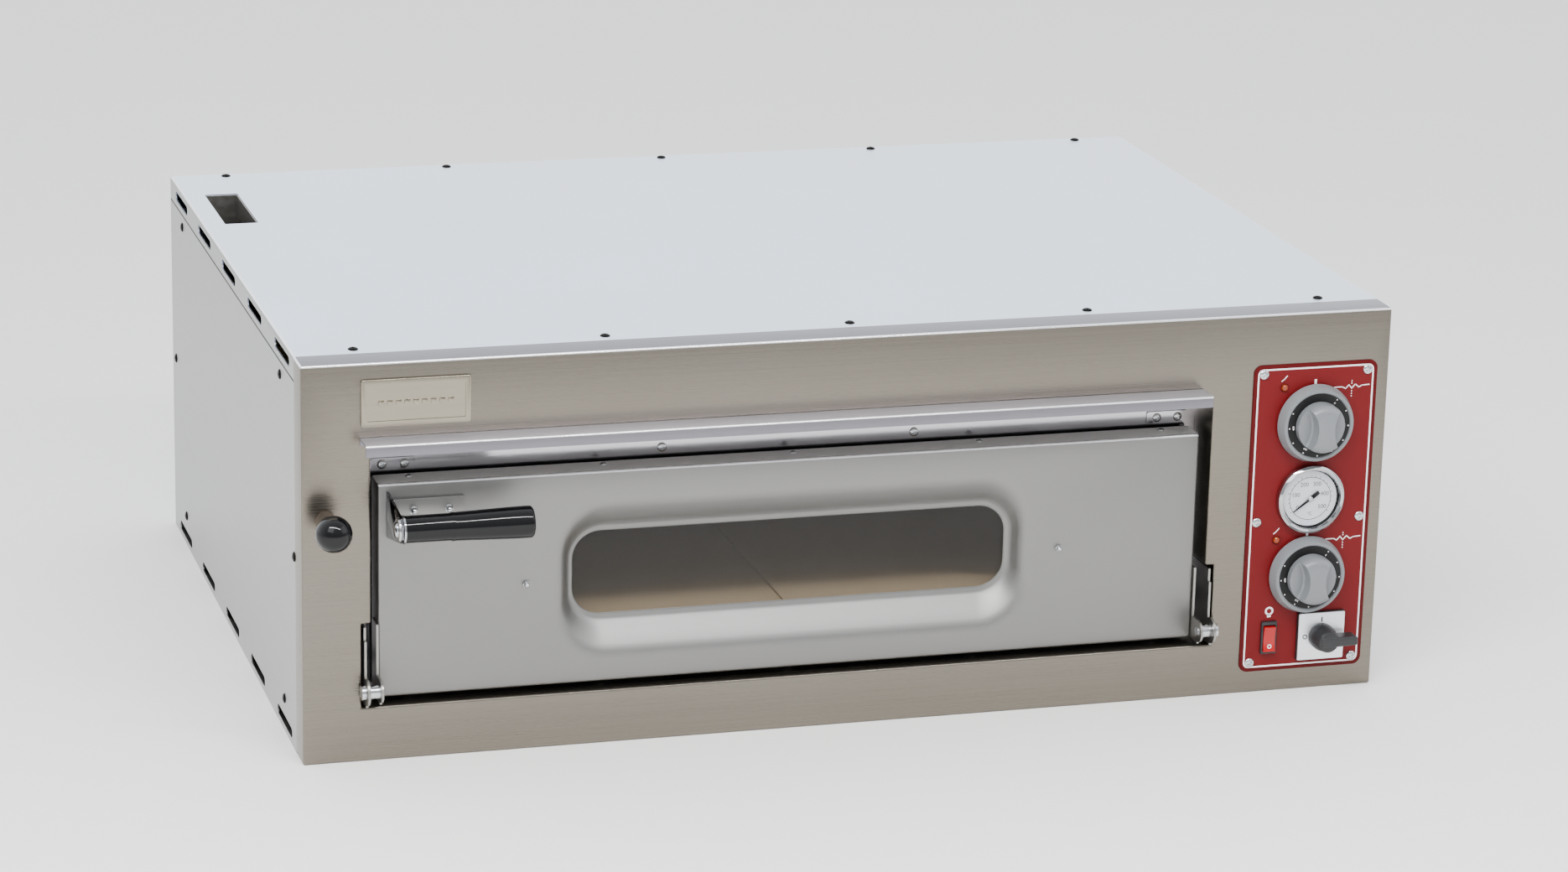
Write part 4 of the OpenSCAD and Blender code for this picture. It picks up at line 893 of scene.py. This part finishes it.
def makeKnob(name, node, body):
    high = boxMm(node)[1]
    centre, span = spanMm(node)
    radius = span.x / 2
    top = span.y
    skirtR = knob["skirtFront"]
    skirtTop = knob["skirtHigh"]
    outer = knob["ringOuter"]
    ringZ = skirtTop - knob["ringDrop"]
    skirt = lathe([(0, 0), (radius - 0.8, 0), (radius, 0.8), (radius - 0.4, 2.6),
                   (skirtR + 0.8, skirtTop - 1.6), (skirtR, skirtTop), (outer + 0.4, skirtTop),
                   (outer, skirtTop - 0.6), (outer - 0.4, ringZ), (0, ringZ)], 72)
    put(skirt, washer(knob["ringInner"], outer - 0.5, knob["ringHigh"], 64, 1), moveTo(0, 0, ringZ))
    r = knob["gripR"]
    base = knob["gripBase"]
    dome = lathe([(0, base - 2), (r, base - 2), (r + 0.3, base), (r, top - 7.5), (r - 0.7, top - 4.6),
                  (r - 2.4, top - 2.4), (r - 5.5, top - 1.1), (r - 10, top - 0.4), (0, top)], 72)
    scoopR = knob["scoopR"]
    floor = knob["scoopFloor"]
    past = top + knob["scoopPast"]
    scoops = []
    for side in (-1, 1):
        scoop = lathe([(0, floor), (scoopR - 1.5, floor), (scoopR, floor + 1.5), (scoopR + 1.2, past),
                       (0, past)], 96)
        scoops.append(shift(scoop, side * knob["scoopAt"], 0, 0))
    put(skirt, carve(dome, *scoops))
    dotAt = (knob["ringInner"] + outer) / 2 + knob["dotOut"]
    dotR = knob["dotR"]
    for i in range(knob["dots"]):
        angle = math.radians(90 - knob["firstDot"] - i * knob["dotArc"] / knob["dots"])
        put(skirt, lathe([(0, 0.1), (dotR, 0.1), (dotR, 0), (0, 0)], 12, 2),
            around(dotAt, angle, ringZ + knob["ringHigh"]))
        if i % 2 == 0:
            label = words(knob["figures"][i // 2], knob["figureHigh"], 2)
            turn = Matrix.Rotation(angle - math.pi / 2, 4, "Z")
            put(skirt, label, around(dotAt - knob["figureIn"], angle, ringZ + 0.25) @ turn)
    finishPiece(name, placed(skirt, frontAt(centre.x, high.y, centre.z)), body,
                [greyPlastic, blackInk, whiteInk], [node], crease=35)


makeKnob("upperKnob", "upper_knob", "upper_thermostat")
makeKnob("lowerKnob", "lower_knob", "lower_thermostat")

# Indicator lamps: amber domes in thin red collars.
whole = bmesh.new()
for middle, size in lampSpots:
    r = size.x / 2
    dome = lathe([(0, 3.4), (r * 0.45, 3.2), (r * 0.7, 2.4), (r * 0.78, 1.0), (r * 0.78, 0), (0, 0)], 32)
    collar = lathe([(r * 0.8, 0), (r, 0), (r, 0.6), (r * 0.9, 1.0), (r * 0.8, 0.9), (r * 0.8, 0)], 32, 1)
    put(dome, collar)
    put(whole, dome, frontAt(middle.x, plateLow.y, middle.z))
finishPiece("indicatorLamps", whole, "cabinet", [amberLens, redBorder], ["indicator_lamps"])
print("knobs and lamps made")

# Pyrometer: chromed bezel, white dial with a grey band, ticks and numbers, black pointer behind glass.
meter = {"bezelLip": 5.2, "barrel": 22, "dialThick": 0.6, "ink": 0.06, "bandIn": 19.8, "bandWide": 0.5,
         "paintedShadowRing": 1.3, "ticks": 21, "tickLong": 2.4, "tickShort": 1.3, "tickWide": 0.45, "sweep": 250,
         "figures": 6, "figureHigh": 5.6, "figureIn": 5.2, "inkLift": 0.05, "unitHigh": 4.6, "unitDrop": 14.5}
# Pointer: tapered blade, a counterweight behind the pivot and a small pivot cap.
blade = {"wide": 2.4, "thick": 0.6, "short": 0.5, "taperFrom": 0.9, "taper": 0.3, "tailLong": 9.6,
         "tailWide": 3.6, "tailBack": 5.2, "lift": 0.7}
caseLow = boxMm("pyrometer_case")[0]
caseMid, caseSpan = spanMm("pyrometer_case")
dialLow, dialHigh = boxMm("pyrometer_dial")
caseR = caseSpan.x / 2
bezelDeep = plateLow.y - caseLow.y
lipR = caseR - meter["bezelLip"]
profile = [(lipR, 0.4), (lipR, bezelDeep - 2.4), (lipR + 0.9, bezelDeep - 1.0), (lipR + 2.6, bezelDeep),
           (caseR - 2.0, bezelDeep - 0.4), (caseR - 0.5, bezelDeep - 1.8), (caseR, bezelDeep - 3.6),
           (caseR, 0.9), (caseR - 0.8, 0), (lipR + 0.2, 0), (lipR, 0.4)]
onCase = frontAt(caseMid.x, plateLow.y, caseMid.z)
whole = placed(lathe(profile, 96), onCase)
barrelEnd = -meter["barrel"]
put(whole, lathe([(0, barrelEnd), (lipR + 2, barrelEnd), (lipR + 2, 0), (0, 0)], 48), onCase)
finishPiece("pyrometerBezel", whole, "cabinet", [chrome], ["pyrometer_case"], crease=25)

dialTop = meter["dialThick"]
dial = lathe([(0, dialTop), (lipR, dialTop), (lipR, 0), (0, 0)], 72)
band = washer(meter["bandIn"], meter["bandIn"] + meter["bandWide"], meter["ink"], 72, 1)
put(dial, band, moveTo(0, 0, dialTop))
# Black ring inside the bezel's lip: painted shadow of the bezel's inner wall on the dial.
paintedShadowRingIn = lipR - meter["paintedShadowRing"]
paintedShadowRing = lathe([(paintedShadowRingIn, 0), (lipR - 0.1, 0), (lipR - 0.1, 0.5), (paintedShadowRingIn, 0.3), (paintedShadowRingIn, 0)], 72, 3)
put(dial, paintedShadowRing, moveTo(0, 0, dialTop))


def dialAngle(i, count):
    return math.radians(90 + meter["sweep"] / 2 - i * meter["sweep"] / (count - 1))


for i in range(meter["ticks"]):
    angle = dialAngle(i, meter["ticks"])
    long = meter["tickLong"] if i % 4 == 0 else meter["tickShort"]
    spot = around(meter["bandIn"] + 0.4 + long / 2, angle, dialTop) @ Matrix.Rotation(angle, 4, "Z")
    put(dial, slab(long, meter["tickWide"], meter["ink"], slotIndex=2), spot)
figureZ = dialTop + meter["inkLift"]
for i in range(meter["figures"]):
    spot = around(meter["bandIn"] - meter["figureIn"], dialAngle(i, meter["figures"]), figureZ)
    put(dial, words(str(i * 100), meter["figureHigh"], 2), spot)
put(dial, words("°C", meter["unitHigh"], 2), moveTo(0, -meter["unitDrop"], figureZ))
finishPiece("pyrometerFace", placed(dial, frontAt(caseMid.x, dialHigh.y, caseMid.z)), "cabinet",
            [dialEnamel, greyInk, greyInk, blackInk], ["pyrometer_dial"])

pointerLow = boxMm("pyrometer_pointer")[0]
tip = Vector((pointerLow.x - caseMid.x, pointerLow.z - caseMid.z))
reach = tip.length
needle = slab(reach - blade["short"], blade["wide"], blade["thick"])
shift(needle, reach / 2, 0, 0)
for vert in needle.verts:
    if vert.co.x > reach * blade["taperFrom"]:
        vert.co.y *= blade["taper"]
put(needle, slab(blade["tailLong"], blade["tailWide"], 0.7, 1.0), moveTo(-blade["tailBack"], 0, 0))
put(needle, lathe([(0, 1.6), (1.6, 1.4), (2.2, 0.9), (2.2, 0), (0, 0)], 24, 1))
aimedAt = math.degrees(math.atan2(tip.y, tip.x))
pointerPlace = frontAt(caseMid.x, dialLow.y - blade["lift"], caseMid.z, aimedAt)
finishPiece("pyrometerNeedle", placed(needle, pointerPlace), "pyrometer_needle",
            [blackInk, zincPlate], ["pyrometer_pointer"])
print("pyrometer made")

# Lamp rocker: sunk nylon bezel and a red rocker with a hollowed face and a plain ring mark.
rocker = {"gapWide": 0.8, "gapHigh": 1.2, "bodyDeep": 18, "cutDeep": 20, "cutLong": 30, "dishR": 34,
          "dishOut": 31.6, "markSink": 1.2, "markRise": 5.0}
bezelW = rockerSpan.x
bezelH = rockerSpan.z
bezelDeep = plateLow.y - rockerLow.y
keyLow = boxMm("light_rocker")[0]
keyMid, keySpan = spanMm("light_rocker")
keyW, keyDeep, keyH = keySpan
hole = slab(keyW + rocker["gapWide"], keyH + rocker["gapHigh"], rocker["cutLong"], 0.6)
shift(hole, 0, 0, -rocker["cutDeep"])
surround = slab(bezelW, bezelH, bezelDeep, 1.0, 0.9, edgeSteps=3)
body = slab(bezelW - 2, bezelH - 3, rocker["bodyDeep"], 0.8)
put(surround, body, moveTo(0, 0, -rocker["bodyDeep"] - 0.1))
finishPiece("rockerBezel", placed(carve(surround, hole), frontAt(rockerMid.x, plateLow.y, rockerMid.z)),
            "cabinet", [blackNylon], ["rocker_frame"])
dish = lathe([(0, -2), (rocker["dishR"], -2), (rocker["dishR"], keyW + 4), (0, keyW + 4)], 96)
shift(dish, 0, keyDeep / 2 + rocker["dishOut"], 0)
key = carve(slab(keyH, keyDeep, keyW, 0.8, 0.5), dish)
whole = placed(key, moveTo(keyLow.x, keyMid.y, keyMid.z) @ turnBy(90, "Y") @ turnBy(180))
put(whole, washer(1.2, 2.1, 0.15, 24, 1),
    frontAt(keyMid.x, keyLow.y + rocker["markSink"], keyLow.z + rocker["markRise"]))
finishPiece("rockerKey", whole, "light_switch", [redGloss, whiteInk], ["light_rocker"])

# Main switch: silver square plate with plain marks, black knob with a tapered lever.
cam = {"hubR": 12.5, "hubGap": 1.0, "stemR": 4, "stemLong": 16, "leverHigh": 10.0, "leverDeep": 14.0,
       "leverBack": 8, "leverTaper": 0.86, "markIn": 6.5, "ink": 0.05}
silverLow, silverHigh = boxMm("switch_plate")
silverMid, silverSpan = spanMm("switch_plate")
silverW = silverSpan.x
markZ = silverSpan.y
tile = slab(silverW, silverW, markZ, 1.2, 0.4)
put(tile, slab(1.3, 4.8, cam["ink"], slotIndex=1), moveTo(0, silverW / 2 - cam["markIn"], markZ))
put(tile, washer(1.4, 2.4, cam["ink"], 24, 1), moveTo(cam["markIn"] - silverW / 2, 0, markZ))
finishPiece("switchPlate", placed(tile, frontAt(silverMid.x, silverHigh.y, silverMid.z)), "cabinet",
            [silverPlate, greyInk], ["switch_plate"])
leverLow, leverHigh = boxMm("switch_knob")
hubR = cam["hubR"]
hubX = leverLow.x + hubR
hubY = silverLow.y - cam["hubGap"]
deep = hubY - leverLow.y
reach = leverHigh.x - hubX
hub = lathe([(0, 0), (hubR, 0), (hubR, 6.5), (hubR - 0.6, 7.6), (hubR - 2.2, deep - 3),
             (hubR - 3.4, deep - 1.4), (hubR - 6, deep - 0.6), (0, deep - 0.4)], 56)
lever = slab(reach + cam["leverBack"], cam["leverHigh"], cam["leverDeep"], 2.6, 1.8, edgeSteps=4)
for vert in lever.verts:
    if vert.co.x > 0:
        vert.co.y *= cam["leverTaper"]
put(hub, lever, moveTo((reach - cam["leverBack"]) / 2, 0, deep - cam["leverDeep"]))
stem = lathe([(0, 0), (cam["stemR"], 0), (cam["stemR"], cam["stemLong"]), (0, cam["stemLong"])], 24)
put(hub, stem, moveTo(0, 0, -cam["stemLong"]))
finishPiece("switchLever", placed(hub, frontAt(hubX, hubY, silverMid.z)), "main_switch",
            [blackNylon], ["switch_knob"])
print("switches made")

# Floor and light: pale studio, wide soft sources and an even sky.
studio = {"floorHalf": 14.0, "key": (-2.6, -3.4, 4.2), "keySize": 3.4, "keyPower": 105.0,
          "fill": (3.4, -2.2, 2.6), "fillSize": 3.0, "fillPower": 40.0, "skyLow": 0.72, "skyTop": 1.2,
          "skyBack": 2.3, "skyTint": (0.95, 0.975, 1.0, 1.0), "upRange": (0.15, 0.75),
          "backRange": (-0.6, 0.6), "aim": (0.0, 0.0, 0.2), "bar": (-0.3, -1.35, 1.7),
          "barAim": (0.0, -0.5, 0.0), "barLong": 2.2, "barDeep": 0.1, "barPower": 50.0}
floorShape = bmesh.new()
bmesh.ops.create_grid(floorShape, x_segments=1, y_segments=1, size=studio["floorHalf"])
floorMesh = bpy.data.meshes.new("floor")
floorShape.to_mesh(floorMesh)
floorShape.free()
# Pale paper sweep with no shine.
floorMesh.materials.append(makeLook("paper_rolled_matt_white", "f4f3f1", 0.0, 0.9, 60, tint=0.01))
floorThing = bpy.data.objects.new("floor", floorMesh)
bpy.context.scene.collection.objects.link(floorThing)

world = bpy.data.worlds.new("studioSky")
bpy.context.scene.world = world
world.use_nodes = True
skyTree = world.node_tree
sky = skyTree.nodes["Background"]
sky.inputs["Color"].default_value = studio["skyTint"]
# The sky is bright overhead and behind, and falls to a softer grey in front, so dark parts keep their depth.
skyCoord = addNode(skyTree, "ShaderNodeTexCoord")
skyAxes = addNode(skyTree, "ShaderNodeSeparateXYZ", links={"Vector": (skyCoord, "Generated")})
skyUp = remap(skyTree, (skyAxes, "Z"), studio["upRange"], studio["skyLow"], studio["skyTop"])
skyBack = remap(skyTree, (skyAxes, "Y"), studio["backRange"], studio["skyLow"], studio["skyBack"])
skyMost = addNode(skyTree, "ShaderNodeMath", {"operation": "MAXIMUM"},
                  links={0: (skyUp, "Result"), 1: (skyBack, "Result")})
skyTree.links.new(skyMost.outputs["Value"], sky.inputs["Strength"])


def areaLight(name, place, target, power, size, deep=None):
    lamp = bpy.data.lights.new(name, "AREA")
    lamp.energy = power
    lamp.size = size
    if deep:
        lamp.shape = "RECTANGLE"
        lamp.size_y = deep
    thing = bpy.data.objects.new(name, lamp)
    thing.location = place
    thing.rotation_euler = (Vector(target) - Vector(place)).to_track_quat("-Z", "Y").to_euler()
    bpy.context.scene.collection.objects.link(thing)


areaLight("key", studio["key"], studio["aim"], studio["keyPower"], studio["keySize"])
areaLight("fill", studio["fill"], studio["aim"], studio["fillPower"], studio["fillSize"])
# A long soft bar over the front gives thin bright lines on the folded edges and a pale pool on the floor.
areaLight("bar", studio["bar"], studio["barAim"], studio["barPower"], studio["barLong"], studio["barDeep"])

# Camera: three-quarter view from the front left, slightly above, with a long lens.
shot = {"azimuth": -16.4619, "elevation": 16.4002, "roll": 1.3361, "lens": 105.24,
        "place": (-1.16484, -4.05679, 1.40841)}
azimuth, elevation, roll = (math.radians(shot[key]) for key in ("azimuth", "elevation", "roll"))
back = Vector((math.sin(azimuth) * math.cos(elevation), -math.cos(azimuth) * math.cos(elevation),
               math.sin(elevation)))
right = Vector((0, 0, 1)).cross(back).normalized()
up = back.cross(right)
rolledRight = right * math.cos(roll) + up * math.sin(roll)
rolledUp = up * math.cos(roll) - right * math.sin(roll)
turned = Matrix((rolledRight, rolledUp, back)).transposed().to_4x4()
lens = bpy.data.cameras.new("camera")
lens.lens = shot["lens"]
lens.sensor_width = 36.0
lens.clip_end = 60.0
camera = bpy.data.objects.new("camera", lens)
camera.matrix_world = Matrix.Translation(shot["place"]) @ turned
bpy.context.scene.collection.objects.link(camera)
bpy.context.scene.camera = camera
print("studio made")
